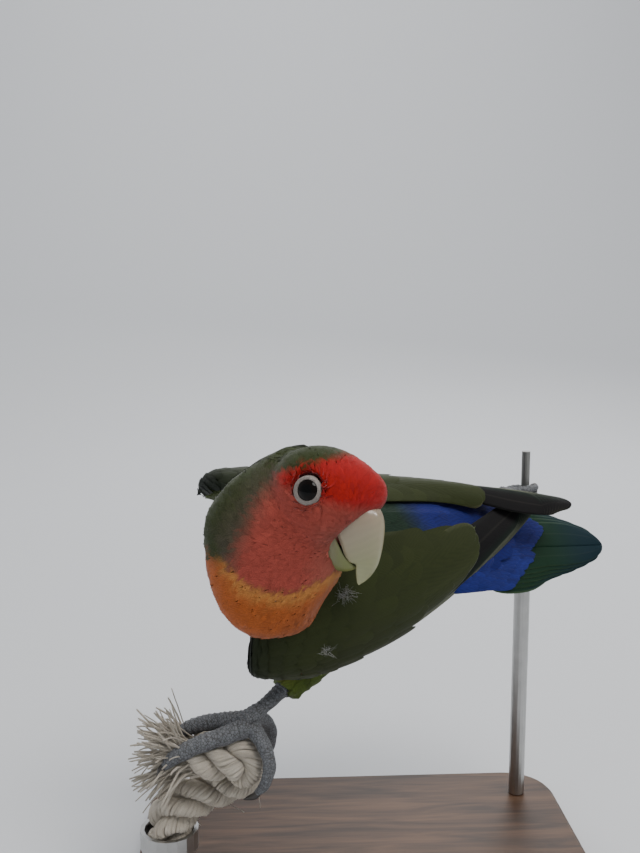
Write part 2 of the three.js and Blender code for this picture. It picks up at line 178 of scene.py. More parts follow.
# Skin: one closed hide over head, neck, trunk, thighs, wing arms and the root of the tail.
# It lies inside the plumage by the plumage's depth, less where a wing is thin.
SKIN_NODES = ["head", "neck", "trunk", "tail", "thigh_left", "thigh_right", "wing_left", "wing_right"]
SKIN_STEP = 0.85
JOIN_GROW = 0.34
COAT_DEPTH = 0.9
THIN_SHARE = 0.3
DEEPEST_LOOK = 12
TAIL_END = -56
# Where the plumage stands out or lies flat: a place of the head's axes, its reach and its rise.
FLUFFED = [
    ((-28, -6, -14), 8.0, 2.6), ((-24, -4, -5), 6.0, 1.0), ((13, 3, 4.5), 4.5, 1.7),
    ((0, -6, -39.5), 9.0, -1.7), ((8.5, 0.5, -29), 7.0, -1.8), ((-28, 0.5, -38), 10.0, -1.8),
]


def unit(ways):
    """Ways drawn to a length of one."""
    ways = np.asarray(ways, float)
    return ways / np.maximum(np.linalg.norm(ways, axis=-1, keepdims=True), 1e-9)


def welded(name):
    """A CAD node's mesh with its doubled corners merged, as a bmesh in metres."""
    made = bmesh.new()
    made.from_mesh(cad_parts[name].data)
    bmesh.ops.remove_doubles(made, verts=made.verts, dist=1e-6)
    return made


def node_tree(name):
    """A search tree over a CAD node's faces."""
    made = welded(name)
    tree = BVHTree.FromBMesh(made)
    made.free()
    return tree


def applied(thing, *steps):
    """Adds modifiers to an object, and keeps the mesh that they give."""
    for kind, values in steps:
        modifier = thing.modifiers.new(kind.lower(), kind)
        for key, value in values.items():
            setattr(modifier, key, value)
    graph = bpy.context.evaluated_depsgraph_get()
    data = bpy.data.meshes.new_from_object(thing.evaluated_get(graph))
    thing.modifiers.clear()
    thing.data = data
    return thing


def cut_short(part):
    """Cuts the stiff end of the tail off its flesh, and closes the cut."""
    place = Vector(trunk_axes.out([TAIL_END, 0, 0])) * MM
    way = Vector(trunk_axes.turn_out([-1, 0, 0]))
    everything = part.verts[:] + part.edges[:] + part.faces[:]
    cut = bmesh.ops.bisect_plane(part, geom=everything, plane_co=place, plane_no=way, clear_outer=True)
    edges = [edge for edge in cut["geom_cut"] if isinstance(edge, bmesh.types.BMEdge)]
    bmesh.ops.holes_fill(part, edges=edges, sides=0)


def flesh_mesh():
    """All nodes of flesh, grown by a little so that they join, as one mesh object."""
    whole = bmesh.new()
    for name in SKIN_NODES:
        part = welded(name)
        if name == "tail":
            cut_short(part)
        bmesh.ops.recalc_face_normals(part, faces=part.faces)
        part.normal_update()
        for corner in part.verts:
            corner.co += corner.normal * JOIN_GROW * MM
        piece = bpy.data.meshes.new(name)
        part.to_mesh(piece)
        part.free()
        whole.from_mesh(piece)
    data = bpy.data.meshes.new("flesh")
    whole.to_mesh(data)
    whole.free()
    return linked("skin", data)


def vectors_of(rows, field):
    """One vector of each of a mesh's rows, as an array."""
    found = np.zeros(len(rows) * 3)
    rows.foreach_get(field, found)
    return found.reshape(-1, 3)


def sunk(data):
    """Where the skin's corners lie once it is drawn in by the coat's depth, or by less where it is thin."""
    places, ways = vectors_of(data.vertices, "co"), vectors_of(data.vertex_normals, "vector")
    tree = BVHTree.FromPolygons([Vector(p) for p in places], [tuple(f.vertices) for f in data.polygons])
    depth = np.zeros(len(places))
    for i, (place, way) in enumerate(zip(places, ways)):
        hit = tree.ray_cast(Vector(place - way * 0.05 * MM), Vector(-way), DEEPEST_LOOK * MM)
        through = hit[3] if hit[0] is not None else DEEPEST_LOOK * MM
        depth[i] = min((COAT_DEPTH + JOIN_GROW) * MM, THIN_SHARE * through)
    return places - ways * depth[:, None]


def fluffed(data):
    """The sunk skin's corners, raised or drawn in where the bird fluffs or flattens its plumage."""
    places = sunk(data)
    for middle, reach, rise in FLUFFED:
        gap = np.linalg.norm(head_axes.into(places / MM) - np.array(middle), axis=1)
        bump = rise * np.exp(-(gap / reach) ** 2) * MM
        places += vectors_of(data.vertex_normals, "vector") * bump[:, None]
    return places


skin = applied(
    flesh_mesh(),
    ("REMESH", {"mode": "VOXEL", "voxel_size": SKIN_STEP * MM, "use_smooth_shade": True}),
    ("SMOOTH", {"factor": 0.5, "iterations": 4}),
)
skin.data.vertices.foreach_set("co", fluffed(skin.data).ravel())
skin.data.update()
skin = applied(skin, ("SMOOTH", {"factor": 0.5, "iterations": 2}))
skin_places = vectors_of(skin.data.vertices, "co") / MM
skin_ways = vectors_of(skin.data.vertex_normals, "vector")
skin_faces = [tuple(face.vertices) for face in skin.data.polygons]
skin_tree = BVHTree.FromPolygons([Vector(p) for p in skin_places], skin_faces)

# Markings: a red forehead, a peach face and throat with an orange lower edge, a blue rump, and green
# everywhere else. Skin and feathers take their colour from the same rule, by where they lie on the body.
RED = (0.36, 0.008, 0.007)
CORAL = (0.33, 0.060, 0.043)
PEACH = (0.33, 0.084, 0.058)
ORANGE = (0.38, 0.092, 0.018)
APRICOT = (0.46, 0.19, 0.048)
SMOKE = (0.064, 0.055, 0.034)
OLIVE = (0.027, 0.037, 0.0065)
BELLY_GREEN = (0.085, 0.125, 0.017)
# The back's dark green is partly its own colour and partly painted shade in the hollow between the folded
# wings.
BACK_GREEN_AND_SHADE = (0.005, 0.021, 0.009)
COBALT = (0.005, 0.010, 0.125)
NECK_MIDDLES = [(-6, 14, 1.5, 0), (8, 18, 3, 20), (17, 19.5, 3.5, 70), (25, 17, 1, 100), (33, 13, -3, 130),
                (40, 10, -5.5, 142)]
BIB_SPREAD = 88


def ease(value, low, high):
    """0 below low, 1 above high, and smooth between."""
    share = np.clip((value - low) / (high - low), 0, 1)
    return share * share * (3 - 2 * share)


def mixed(base, over, share):
    """Colours drawn towards another by a share."""
    return base + (np.asarray(over) - base) * np.asarray(share)[..., None]


def painted(colour, shape):
    """One colour at every place of an array of this shape."""
    return np.tile(np.array(colour), (*shape, 1))


def green_and_blue(place, side, height):
    """Olive flanks, a light belly, a back dark in its own green and painted shade, and a blue rump, by places
    in the trunk's axes.
    """
    colour = mixed(painted(OLIVE, place.shape), BELLY_GREEN, ease(-height, -4, 9) * 0.8)
    # Darkens the back: partly its own darker green, partly painted shade between the folded wings.
    colour = mixed(colour, BACK_GREEN_AND_SHADE, ease(-place, 4, 14) * ease(height, 0, 8))
    start = 20 + 0.4 * np.maximum(side + 8, 0)
    blue = ease(-place, start - 4, start + 7) * ease(height + 0.22 * (-place - 20), -3, 6)
    return mixed(colour, COBALT, blue)


def bib_share(place, side, height, over_edge):
    """How far the orange bib covers the front of the neck, below the lower edge of the face."""
    rows = np.array(NECK_MIDDLES, float).T
    middle_x, middle_y, bib_way = (np.interp(height, rows[0], row) for row in rows[1:])
    round_neck = np.degrees(np.arctan2(side - middle_y, place - middle_x))
    from_bib = np.abs((round_neck - bib_way + 180) % 360 - 180)
    within = ease(BIB_SPREAD - from_bib, -8, 14)
    low = within * ease(height, -12, 4) * ease(place, -8, 4)
    bib = np.where(height > 12, within * ease(place, -14, -6), low)
    return bib * (1 - ease(over_edge, -1.0, 1.5) * ease(height, 14, 20))


def warm_throat(under_edge):
    """Orange, with apricot next to the face and peach far below it."""
    warm = mixed(painted(ORANGE, under_edge.shape), APRICOT, np.exp(-((under_edge - 1.5) / 2.2) ** 2))
    return mixed(warm, PEACH, ease(under_edge, 12, 30) * 0.7)


def red_and_peach(front, up):
    """A red forehead over coral cheeks that turn peach below the bill, by places in the head's axes."""
    face = mixed(painted(CORAL, up.shape), PEACH, ease(front, 1, 9) * ease(-up, 0, 8))
    line = 3.5 - 0.02 * np.maximum(front, 0) ** 1.5
    return mixed(face, RED, ease(up, line - 2.4, line + 1.6))


def plumage(points):
    """The colour of the plumage at points of the row's frame, in millimetres."""
    place, side, height = np.moveaxis(trunk_axes.into(points), -1, 0)
    front, _, up = np.moveaxis(head_axes.into(points), -1, 0)
    edge = -24.3 + 0.055 * np.maximum(0, front + 3) ** 2 + 0.018 * np.minimum(0, front + 4) ** 2
    bib = bib_share(place, side, height, up - edge)
    colour = mixed(green_and_blue(place, side, height), warm_throat(edge - up), bib)

    on_head = ease(up - edge, -1.2, 0.8) * ease(height + 0.6 * place, 18, 26)
    smoky = ease(front - 0.3 * up + 20.5, -3, 8) * ease(5.5 - up, -2.5, 3.5)
    colour = mixed(colour, SMOKE, smoky * on_head)
    crown_line = ease((front - 1.73 * up + 19.4) / 2, -1.2, 1.6)
    cheek_line = ease((front - 0.16 * up + 11.7) / (1 - 0.6 * ease(up, 0, 4)), -4.5, 4.0)
    return mixed(colour, red_and_peach(front, up), crown_line * cheek_line * on_head)


# Lie: the feathers point away from the bill, over head and neck, and on to the tail.
# The way over the hide from the bill is measured once, and every feather follows its slope.
BILL_ROOT = (10, 0, -5)
BILL_ROOT_REACH = 8.5
LIE_SMOOTHING = 40
WING_DOWN = (0.030, 0.042, 0.010)
# Painted light: the hide's colours are brightened by this factor to lift the shade in the pockets between the
# feathers.
HIDE_PAINTED_LIGHT = 1.8


def hide_edges(data):
    """The two corners of each of a mesh's edges."""
    pairs = np.zeros(len(data.edges) * 2, int)
    data.edges.foreach_get("vertices", pairs)
    return pairs.reshape(-1, 2)


def ways_from_bill(places, pairs):
    """The length of the shortest way over the hide from the bill to each corner."""
    near = [[] for _ in places]
    for a, b in pairs.tolist():
        length = float(np.linalg.norm(places[a] - places[b]))
        near[a].append((b, length))
        near[b].append((a, length))
    reach = np.linalg.norm(head_axes.into(places) - np.array(BILL_ROOT), axis=1)
    found = np.full(len(places), np.inf)
    queue = []
    for i in np.flatnonzero(reach < BILL_ROOT_REACH).tolist():
        found[i] = reach[i]
        queue.append((float(reach[i]), i))
    heapq.heapify(queue)
    while queue:
        length, i = heapq.heappop(queue)
        if length > found[i]:
            continue
        for j, step in near[i]:
            if length + step < found[j] - 1e-9:
                found[j] = length + step
                heapq.heappush(queue, (length + step, j))
    return np.where(np.isfinite(found), found, found[np.isfinite(found)].max())


def edge_sums(pairs, first, second, count):
    """What a mesh's edges bring to their first and second ends, summed at each corner."""
    columns = [
        np.bincount(pairs[:, 0], first[:, k], count) + np.bincount(pairs[:, 1], second[:, k], count)
        for k in range(first.shape[1])
    ]
    return np.stack(columns, 1)


def averaged(values, pairs, rounds):
    """Values of corners, each drawn to the mean of its neighbours some rounds over."""
    counts = np.bincount(pairs.ravel(), minlength=len(values))[:, None]
    values = values.reshape(len(values), -1)
    for _ in range(rounds):
        total = edge_sums(pairs, values[pairs[:, 1]], values[pairs[:, 0]], len(values))
        values = 0.4 * values + 0.6 * total / counts
    return values


def feather_lie(from_bill, pairs):
    """Which way the feathers point at each corner of the hide: from the bill, and rearward on the trunk."""
    step = skin_places[pairs[:, 1]] - skin_places[pairs[:, 0]]
    rise = (from_bill[pairs[:, 1]] - from_bill[pairs[:, 0]]) / np.maximum((step ** 2).sum(1), 1e-9)
    climb = rise[:, None] * step
    slope = edge_sums(pairs, climb, climb, len(skin_places))
    rearward = trunk_axes.turn_out([-1.0, 0, 0])
    steady = ease(6 - trunk_axes.into(skin_places)[:, :1], 0, 14) * 0.85
    found = averaged(unit(unit(slope) * (1 - steady) + rearward * steady), pairs, 6)
    return unit(found - (found * skin_ways).sum(1)[:, None] * skin_ways)


pairs = hide_edges(skin.data)
from_bill = averaged(ways_from_bill(skin_places, pairs), pairs, LIE_SMOOTHING)[:, 0]
lie = feather_lie(from_bill, pairs)

# Which part of the bird each corner of the hide belongs to
part_trees = [node_tree(name) for name in SKIN_NODES]
part_of = np.array([
    int(np.argmin([tree.find_nearest(Vector(p * MM))[3] for tree in part_trees])) for p in skin_places
])
wing_parts = [SKIN_NODES.index("wing_left"), SKIN_NODES.index("wing_right")]

skin_colour = skin.data.attributes.new("Plumage", "FLOAT_COLOR", "POINT")
hide_colours = plumage(skin_places)
hide_colours[np.isin(part_of, wing_parts)] = WING_DOWN
# The hide's colours are painted brighter by this factor, as light that offsets the shade between the
# feathers.
skin_colour.data.foreach_set("color", np.c_[hide_colours * HIDE_PAINTED_LIGHT, np.ones(len(skin_places))].ravel())

# Plumage material: fine barbs that slant from the shaft of each feather to its edges.
# The barbs shade the colour and give the low satin relief of real vanes.
BARB_SLANT = 0.55
BARB_RELIEF = 0.00008
SHAFT_REACH = 0.035
SHAFT_PALE = (0.6, 0.55, 0.4)
BLACK = (0.0, 0.0, 0.0)


def node(tree, kind, values=None, **settings):
    """A new shader node, its inputs by name or number set to values or linked to sockets."""
    made = tree.nodes.new(kind)
    for key, value in settings.items():
        setattr(made, key, value)
    for key, value in (values or {}).items():
        if isinstance(value, bpy.types.NodeSocket):
            tree.links.new(value, made.inputs[key])
        else:
            made.inputs[key].default_value = value
    return made


def effect_group(name, inputs, outputs):
    """An empty shader node group with named sockets, its input node and its output node."""
    group = bpy.data.node_groups.new(name, "ShaderNodeTree")
    for label, kind, value in inputs:
        socket = group.interface.new_socket(name=label, in_out="INPUT", socket_type=kind)
        socket.default_value = value
    for label, kind in outputs:
        group.interface.new_socket(name=label, in_out="OUTPUT", socket_type=kind)
    return group, group.nodes.new("NodeGroupInput"), group.nodes.new("NodeGroupOutput")


def math_node(tree, operation, *values):
    """The result of a sum over sockets and values."""
    return node(tree, "ShaderNodeMath", dict(enumerate(values)), operation=operation).outputs[0]


def body_place(tree):
    """The place on the object, in metres."""
    return node(tree, "ShaderNodeTexCoord").outputs["Object"]


def noise(tree, place, scale, detail, distortion=0.0):
    """A cloudy noise over places, from 0 to 1."""
    values = {"Vector": place, "Scale": scale, "Detail": detail, "Distortion": distortion}
    return node(tree, "ShaderNodeTexNoise", values).outputs[0]


def graded(tree, value, low, high, start=0.0, end=1.0):
    """A value that runs from start to end while another runs from low to high."""
    return node(tree, "ShaderNodeMapRange", {0: value, 1: low, 2: high, 3: start, 4: end}).outputs[0]


def blend(tree, share, low, high, way="MIX"):
    """Two colours mixed by a share, or the first one multiplied by the second."""
    low, high = (value if isinstance(value, bpy.types.NodeSocket) else (*value, 1) for value in (low, high))
    values = {0: share, 6: low, 7: high}
    return node(tree, "ShaderNodeMix", values, data_type="RGBA", blend_type=way).outputs[2]


def surfaced(shader, colour, values, relief=None):
    """Gives a shader its colour, its plain values and a relief of height, strength and depth in metres."""
    tree = shader.id_data
    tree.links.new(colour, shader.inputs["Base Color"])
    for label, value in values.items():
        shader.inputs[label].default_value = value
    if relief:
        bump = node(tree, "ShaderNodeBump", dict(zip(("Height", "Strength", "Distance"), relief)))
        tree.links.new(bump.outputs[0], shader.inputs["Normal"])


def barbs_group():
    """Barb lines and a pale shaft on a vane whose map runs along and across it."""
    group, start, end = effect_group(
        "vane_barbs",
        [("Colour", "NodeSocketColor", (0.5, 0.5, 0.5, 1)), ("Barbs", "NodeSocketFloat", 40.0),
         ("Depth", "NodeSocketFloat", 0.25), ("Shaft", "NodeSocketFloat", 0.3)],
        [("Colour", "NodeSocketColor"), ("Relief", "NodeSocketFloat")],
    )
    colour = start.outputs["Colour"]
    place = node(group, "ShaderNodeUVMap", uv_map="Vane").outputs[0]
    split = node(group, "ShaderNodeSeparateXYZ", {0: place})
    from_shaft = math_node(group, "ABSOLUTE", math_node(group, "SUBTRACT", split.outputs[1], 0.5))
    slant = math_node(group, "MULTIPLY", from_shaft, BARB_SLANT)
    slanted = math_node(group, "SUBTRACT", split.outputs[0], slant)
    moved = math_node(group, "MULTIPLY_ADD", noise(group, place, 9.0, 2.0), 0.05, slanted)
    turns = math_node(group, "MULTIPLY", math_node(group, "MULTIPLY", moved, start.outputs["Barbs"]), 6.283)
    wave = math_node(group, "MULTIPLY_ADD", math_node(group, "SINE", turns), 0.5, 0.5)
    darkened = blend(group, math_node(group, "MULTIPLY", wave, start.outputs["Depth"]), colour, BLACK)
    near_shaft = graded(group, from_shaft, 0.0, SHAFT_REACH, 1.0, 0.0)
    shaft_share = math_node(group, "MULTIPLY", near_shaft, start.outputs["Shaft"])
    with_shaft = blend(group, shaft_share, darkened, blend(group, 0.35, colour, SHAFT_PALE))
    group.links.new(with_shaft, end.inputs["Colour"])
    group.links.new(math_node(group, "ADD", wave, near_shaft), end.inputs["Relief"])
    return group


vane_barbs = barbs_group()


def plumage_material(name, barbs, depth, shaft, roughness, sheen, relief):
    """A coat material that takes its colour from the Plumage attribute of the vanes."""
    made, tree, shader = new_material(name)
    colour = node(tree, "ShaderNodeAttribute", attribute_name="Plumage").outputs["Color"]
    values = {"Colour": colour, "Barbs": barbs, "Depth": depth, "Shaft": shaft}
    effect = node(tree, "ShaderNodeGroup", values, node_tree=vane_barbs)
    gloss = {"Roughness": roughness, "Sheen Weight": sheen, "Sheen Roughness": 0.45,
             "Specular IOR Level": 0.16}
    surfaced(shader, effect.outputs["Colour"], gloss, (effect.outputs["Relief"], relief, BARB_RELIEF))
    return made


soft_plumage = plumage_material("soft_plumage", 7.0, 0.22, 0.0, 0.8, 0.18, 0.3)
skin_material, tree, shader = new_material("feathered_hide")
colour = node(tree, "ShaderNodeAttribute", attribute_name="Plumage").outputs["Color"]
down = noise(tree, body_place(tree), 1200.0, 3.0)
surfaced(shader, blend(tree, 0.2, colour, down, "MULTIPLY"), {"Roughness": 0.9}, (down, 0.6, 0.0003))
skin.data.materials.clear()
skin.data.materials.append(skin_material)

# Contour feathers: small soft vanes over the whole hide but the wings.
# They are tiny by the bill, longer down the neck and broad on breast, back and belly.
RANDOM = np.random.default_rng(7)
# Spacing, length, half-breadth, lift and stray of colour, each by the way over the hide from the bill.
SPACING = ([0, 8, 16, 28, 45, 70, 100], [0.48, 0.54, 0.63, 0.86, 1.3, 1.7, 1.8])
LENGTH = ([0, 6, 12, 24, 40, 70, 100], [1.7, 2.6, 3.8, 5.8, 8.5, 11, 12])
BREADTH = ([0, 8, 16, 28, 45, 70, 100], [0.44, 0.52, 0.70, 1.15, 2.0, 2.6, 2.5])
LIFT = ([0, 10, 30, 60], [0.28, 0.40, 0.55, 0.9])
STRAY = ([0, 20, 50], [0.15, 0.5, 1.2])
ROOT_TRIES = 170000
EYE_PLACE = (-0.15, 11.2, 3.4)
EYE_AXIS = (0.05, 0.97, 0.22)
EYE_CLEAR = 3.1
BILL_CLEAR = 1.5
WING_GAP = 0.35
VANE_CUP = 0.06
VANE_ROWS = 6
VANE_COLUMNS = 7
MIDDLE = VANE_COLUMNS // 2
BAKE_PATCH = 0.003
MAP_MARGIN = 0.03


def mirrored(place, side):
    """A place or way of the head's left side, or its mirror image on the right."""
    return np.array(place, float) * (1, side, 1)


def inset(places):
    """Places on an unwrap, drawn in from its border."""
    return np.asarray(places) * (1 - 2 * MAP_MARGIN) + MAP_MARGIN


def root_places(spacing_of, keep, tries):
    """Feather roots scattered over the hide, none nearer to another than its own spacing."""
    triangles = np.array([f[:3] for f in skin_faces] + [(f[0], *f[2:]) for f in skin_faces if len(f) == 4])
    triangles = triangles[keep[triangles].all(1)]
    a, b, c = (skin_places[triangles[:, k]] for k in range(3))
    area = np.linalg.norm(np.cross(b - a, c - a), axis=1) / 2
    density = area / spacing_of[triangles].mean(1) ** 2
    picked = RANDOM.choice(len(triangles), tries, p=density / density.sum())
    u, v = RANDOM.random(tries), RANDOM.random(tries)
    u, v = np.where(u + v > 1, 1 - u, u), np.where(u + v > 1, 1 - v, v)
    weights = np.stack([1 - u - v, u, v], 1)
    corners = triangles[picked]
    places = (skin_places[corners] * weights[..., None]).sum(1)
    wanted = (spacing_of[corners] * weights).sum(1)
    cell = spacing_of.max()
    cells, kept = {}, []
    keys = np.floor(places / cell).astype(int).tolist()
    around = [(x, y, z) for x in (-1, 0, 1) for y in (-1, 0, 1) for z in (-1, 0, 1)]
    for i, (x, y, z) in enumerate(keys):
        place, gap = places[i], wanted[i] ** 2
        near = [j for dx, dy, dz in around for j in cells.get((x + dx, y + dy, z + dz), ())]
        if near and ((places[near] - place) ** 2).sum(1).min() < gap:
            continue
        cells.setdefault((x, y, z), []).append(i)
        kept.append(i)
    return places[kept], corners[kept], weights[kept]


def blend_at(values, corners, weights):
    """Values of the hide's corners, blended at each root."""
    return (values[corners] * weights.reshape(weights.shape + (1,) * (values.ndim - 1))).sum(1)


def vane_faces(count, rows, columns):
    """The quads of many vanes, each a grid of rows by columns."""
    r, c = np.meshgrid(np.arange(rows - 1), np.arange(columns - 1), indexing="ij")
    first = (r * columns + c).ravel()
    quads = np.stack([first, first + 1, first + columns + 1, first + columns], 1)
    starts = np.arange(count)[:, None, None] * rows * columns
    return (starts + quads).reshape(-1, 4)


def coat_piece(name, grid, colours, root_map, material):
    """A mesh of vanes: grid is vane, row, column, xyz, and root_map is each root's place on the unwrap."""
    count, rows, columns, _ = grid.shape
    faces = vane_faces(count, rows, columns)
    made = mesh_piece(name, grid.reshape(-1, 3), faces.tolist(), material)
    shades = made.data.attributes.new("Plumage", "FLOAT_COLOR", "POINT")
    shades.data.foreach_set("color", np.c_[colours.reshape(-1, 3), np.ones(count * rows * columns)].ravel())
    along, across = np.meshgrid(np.linspace(0, 1, rows), np.linspace(0, 1, columns), indexing="ij")
    local = np.tile(np.stack([along, across], -1).reshape(-1, 2), (count, 1))
    roots = np.repeat(np.asarray(root_map), rows * columns, axis=0)
    for label, values in (("Vane", local), ("OFBake", roots + (local - 0.5) * BAKE_PATCH)):
        layer = made.data.uv_layers.new(name=label)
        layer.uv.foreach_set("vector", values[faces.ravel()].ravel())
    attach(made, "root")
    return made


def outline_of(share):
    """Half-breadth of a vane at shares of its length, 1 at its broadest and a quarter at its ends."""
    return np.maximum(np.sqrt(np.clip(1 - (np.abs(share - 0.55) / 0.50) ** 2.4, 0, 1)), 0.25)


def followed(roots, ways, ups, length):
    """The middle lines of vanes that follow the hide from their roots, and the ways up and aside there."""
    place, way, up = roots.copy(), ways, ups
    lines = [np.zeros((len(roots), VANE_ROWS, 3)) for _ in range(3)]
    for r in range(VANE_ROWS):
        if r:
            place = place + way * (length / (VANE_ROWS - 1))[:, None]
            for i in range(len(place)):
                hit = skin_tree.find_nearest(Vector(place[i]))
                place[i] = hit[0]
                up[i] = 0.5 * up[i] + 0.5 * np.array(hit[1])
            up = unit(up)
            way = unit(way - (way * up).sum(1)[:, None] * up)
        for line, values in zip(lines, (place, up, np.cross(up, way))):
            line[:, r] = values
    return lines


def contour_vanes(roots, corners, weights, length, half, lift, fray, way=None):
    """Vanes that follow the hide from their roots along its lie, with loose ends to their barbs."""
    count = len(roots)
    way = unit(blend_at(lie, corners, weights)) if way is None else way
    way = unit(way + RANDOM.normal(0, 0.09, (count, 3)))
    centre, normal, sides = followed(roots, way, unit(blend_at(skin_ways, corners, weights)), length)
    share = np.linspace(0, 1, VANE_ROWS)
    height = 0.12 + lift[:, None] * (0.45 * ease(share, 0, 0.35) + 0.55 * share)
    centre = centre + normal * height[..., None]
    columns = np.linspace(-1, 1, VANE_COLUMNS)
    wide = (half[:, None] * outline_of(share))[..., None]
    grid = centre[:, :, None] + sides[:, :, None] * (wide * columns)[..., None]
    grid = grid - normal[:, :, None] * (VANE_CUP * wide * columns ** 2)[..., None]
    loose = RANDOM.normal(0, 1, (count, VANE_COLUMNS)) + (np.arange(VANE_COLUMNS) % 2 - 0.5) * 2
    loose = np.clip(loose * fray - 0.05 * columns ** 2, -0.12, 0.2) * length[:, None]
    forward = unit(centre[:, -1] - centre[:, -2])
    grid[:, -1] += forward[:, None] * loose[..., None]
    return grid


def vane_tones(count, rows, spread):
    """Shades of vanes: each has its own tone, with a dusky root, a clear middle and a slightly pale end."""
    tone = np.clip(1 + RANDOM.normal(0, spread, count), 0.6, 1.5)
    along = np.interp(np.linspace(0, 1, rows), [0, 0.45, 0.85, 1], [0.88, 0.98, 1.0, 1.05])
    return (tone[:, None] * along)[..., None, None]


eye_gap = np.min([
    np.linalg.norm(head_axes.into(skin_places) - mirrored(EYE_PLACE, side), axis=1) for side in (-1, 1)
], axis=0)
spacing = np.interp(from_bill, *SPACING)
bare = np.isin(part_of, wing_parts) | (eye_gap < EYE_CLEAR) | (from_bill < BILL_CLEAR)
roots, corners, weights = root_places(spacing, ~bare, ROOT_TRIES)
gone = blend_at(from_bill, corners, weights)
grid = contour_vanes(
    roots, corners, weights,
    np.interp(gone, *LENGTH) * RANDOM.uniform(0.85, 1.15, len(roots)),
    np.interp(gone, *BREADTH) * RANDOM.uniform(0.9, 1.1, len(roots)),
    np.interp(gone, *LIFT), 0.06,
)

# Feathers round the eyes: those that reach over a bare ring are shortened and parted, and tiny ones
# spread from under its edge. None grow below the folded wings or the coverts of the tail.
RING_REACH = 3.1
RING_RISE = 0.36
RING_SPOKES = 64
EYE_MOUTH = (-0.1, 11.2, 3.45)


def round_eye(local, side):
    """An eye's axis, and each point's height along it and way out from it, in the head's axes."""
    axis = unit(mirrored(EYE_AXIS, side))
    gap = local - mirrored(EYE_PLACE, side)
    depth = gap @ axis
    return axis, depth, gap - depth[..., None] * axis


def shortened_at_eye(local, side):
    """Shortens the vanes that would reach over one eye's bare ring, and tells which keep enough length."""
    _, depth, flat = round_eye(local[:, :, MIDDLE], side)
    away = np.linalg.norm(flat, axis=-1)
    limit = RING_REACH + 0.05
    inside = (away < limit) & (np.hypot(away, depth) < 6)
    reaches = inside.any(1)
    first = np.where(reaches, np.argmax(inside, axis=1), VANE_ROWS - 1)
    every = np.arange(len(away))
    before, after = away[every, np.maximum(first - 1, 0)], away[every, first]
    part = np.clip((before - limit) / np.maximum(before - after, 0.01), 0, 1)
    keep = np.where(reaches, np.clip((first - 1 + part) / (VANE_ROWS - 1), 0.2, 1.0), 1.0)
    root = local[:, :1, MIDDLE:MIDDLE + 1]
    return root + (local - root) * keep[:, None, None, None], keep > 0.3


def parted_at_eye(local, side):
    """Moves what still lies over one eye's ring out to its edge, and tells which vanes lie clear of it."""
    axis, depth, flat = round_eye(local, side)
    reach = np.linalg.norm(flat, axis=-1)
    near = (reach < RING_REACH) & (np.abs(depth) < 4)
    clear = ~(near & (reach < 0.66 * RING_REACH)).any((1, 2))
    near &= reach > 0.85 * RING_REACH
    out = (0.94 * RING_REACH + 0.06 * reach) / np.maximum(reach, 0.2)
    moved = mirrored(EYE_PLACE, side) + depth[..., None] * axis + flat * out[..., None]
    return np.where(near[..., None], moved, local), clear


def clear_of_eyes(grid):
    """The vanes shortened and parted round both eyes, and which of them are left whole."""
    local = head_axes.into(grid)
    whole = np.ones(len(grid), bool)
    for side in (-1, 1):
        local, long_enough = shortened_at_eye(local, side)
        local, clear = parted_at_eye(local, side)
        whole &= long_enough & clear
    return head_axes.out(local), whole


def outside_wings(grid):
    """Which vanes lie clear of the folded wings, at their middles and tips."""
    clear = np.ones(len(grid), bool)
    for part in wing_parts:
        tree = part_trees[part]
        for row in (grid.shape[1] // 3, grid.shape[1] - 1):
            for i in np.flatnonzero(clear):
                place = Vector(grid[i, row, grid.shape[2] // 2] * MM)
                hit, way, _, gap = tree.find_nearest(place)
                if gap < WING_GAP * MM or (place - hit).dot(way) < 0:
                    clear[i] = False
    return clear


def short_of_tail(grid):
    """Which vanes end before the blue coverts that lie over the root of the tail."""
    place, side, _ = np.moveaxis(trunk_axes.into(grid[:, -1, MIDDLE]), -1, 0)
    return place > -50 + 1.1 * np.maximum(0, side - 3.2)


grid, whole = clear_of_eyes(grid)
clear = whole & short_of_tail(grid) & outside_wings(grid)
grid, roots, gone = grid[clear], roots[clear], gone[clear]


def ring_roots():
    """Where tiny feathers start round each eye's bare ring but for its front, and the ways they point."""
    starts, faces, ways = [], [], []
    for side in (-1, 1):
        axis = unit(mirrored(EYE_AXIS, side))
        first = unit(np.cross(axis, [0, 0, 1.0]))
        second = np.cross(axis, first)
        for turn in np.linspace(0, 2 * np.pi, RING_SPOKES, endpoint=False):
            for away in (3.12, 3.5):
                spoke = np.cos(turn + away) * first + np.sin(turn + away) * second
                hit = skin_tree.find_nearest(Vector(head_axes.out(mirrored(EYE_MOUTH, side) + away * spoke)))
                corners = skin_faces[hit[2]][:3]
                flow, outward = unit(lie[list(corners)].mean(0)), head_axes.turn_out(spoke)
                if flow @ outward < -0.35:
                    continue
                starts.append(np.array(hit[0]))
                faces.append(corners)
                ways.append(unit(flow * 0.8 + outward))
    return np.array(starts), np.array(faces), np.array(ways)


def raised_at_eyes(grid):
    """Lifts the ends of the feathers round each eye, so that they lie over the outer edge of its ring."""
    local = head_axes.into(grid)
    for side in (-1, 1):
        axis, depth, flat = round_eye(local, side)
        away = np.linalg.norm(flat, axis=-1)
        rise = RING_RISE * (1 - ease(away, 3.2, 5.2)) * (np.abs(depth) < 4)
        local = local + axis * rise[..., None]
    return head_axes.out(local)


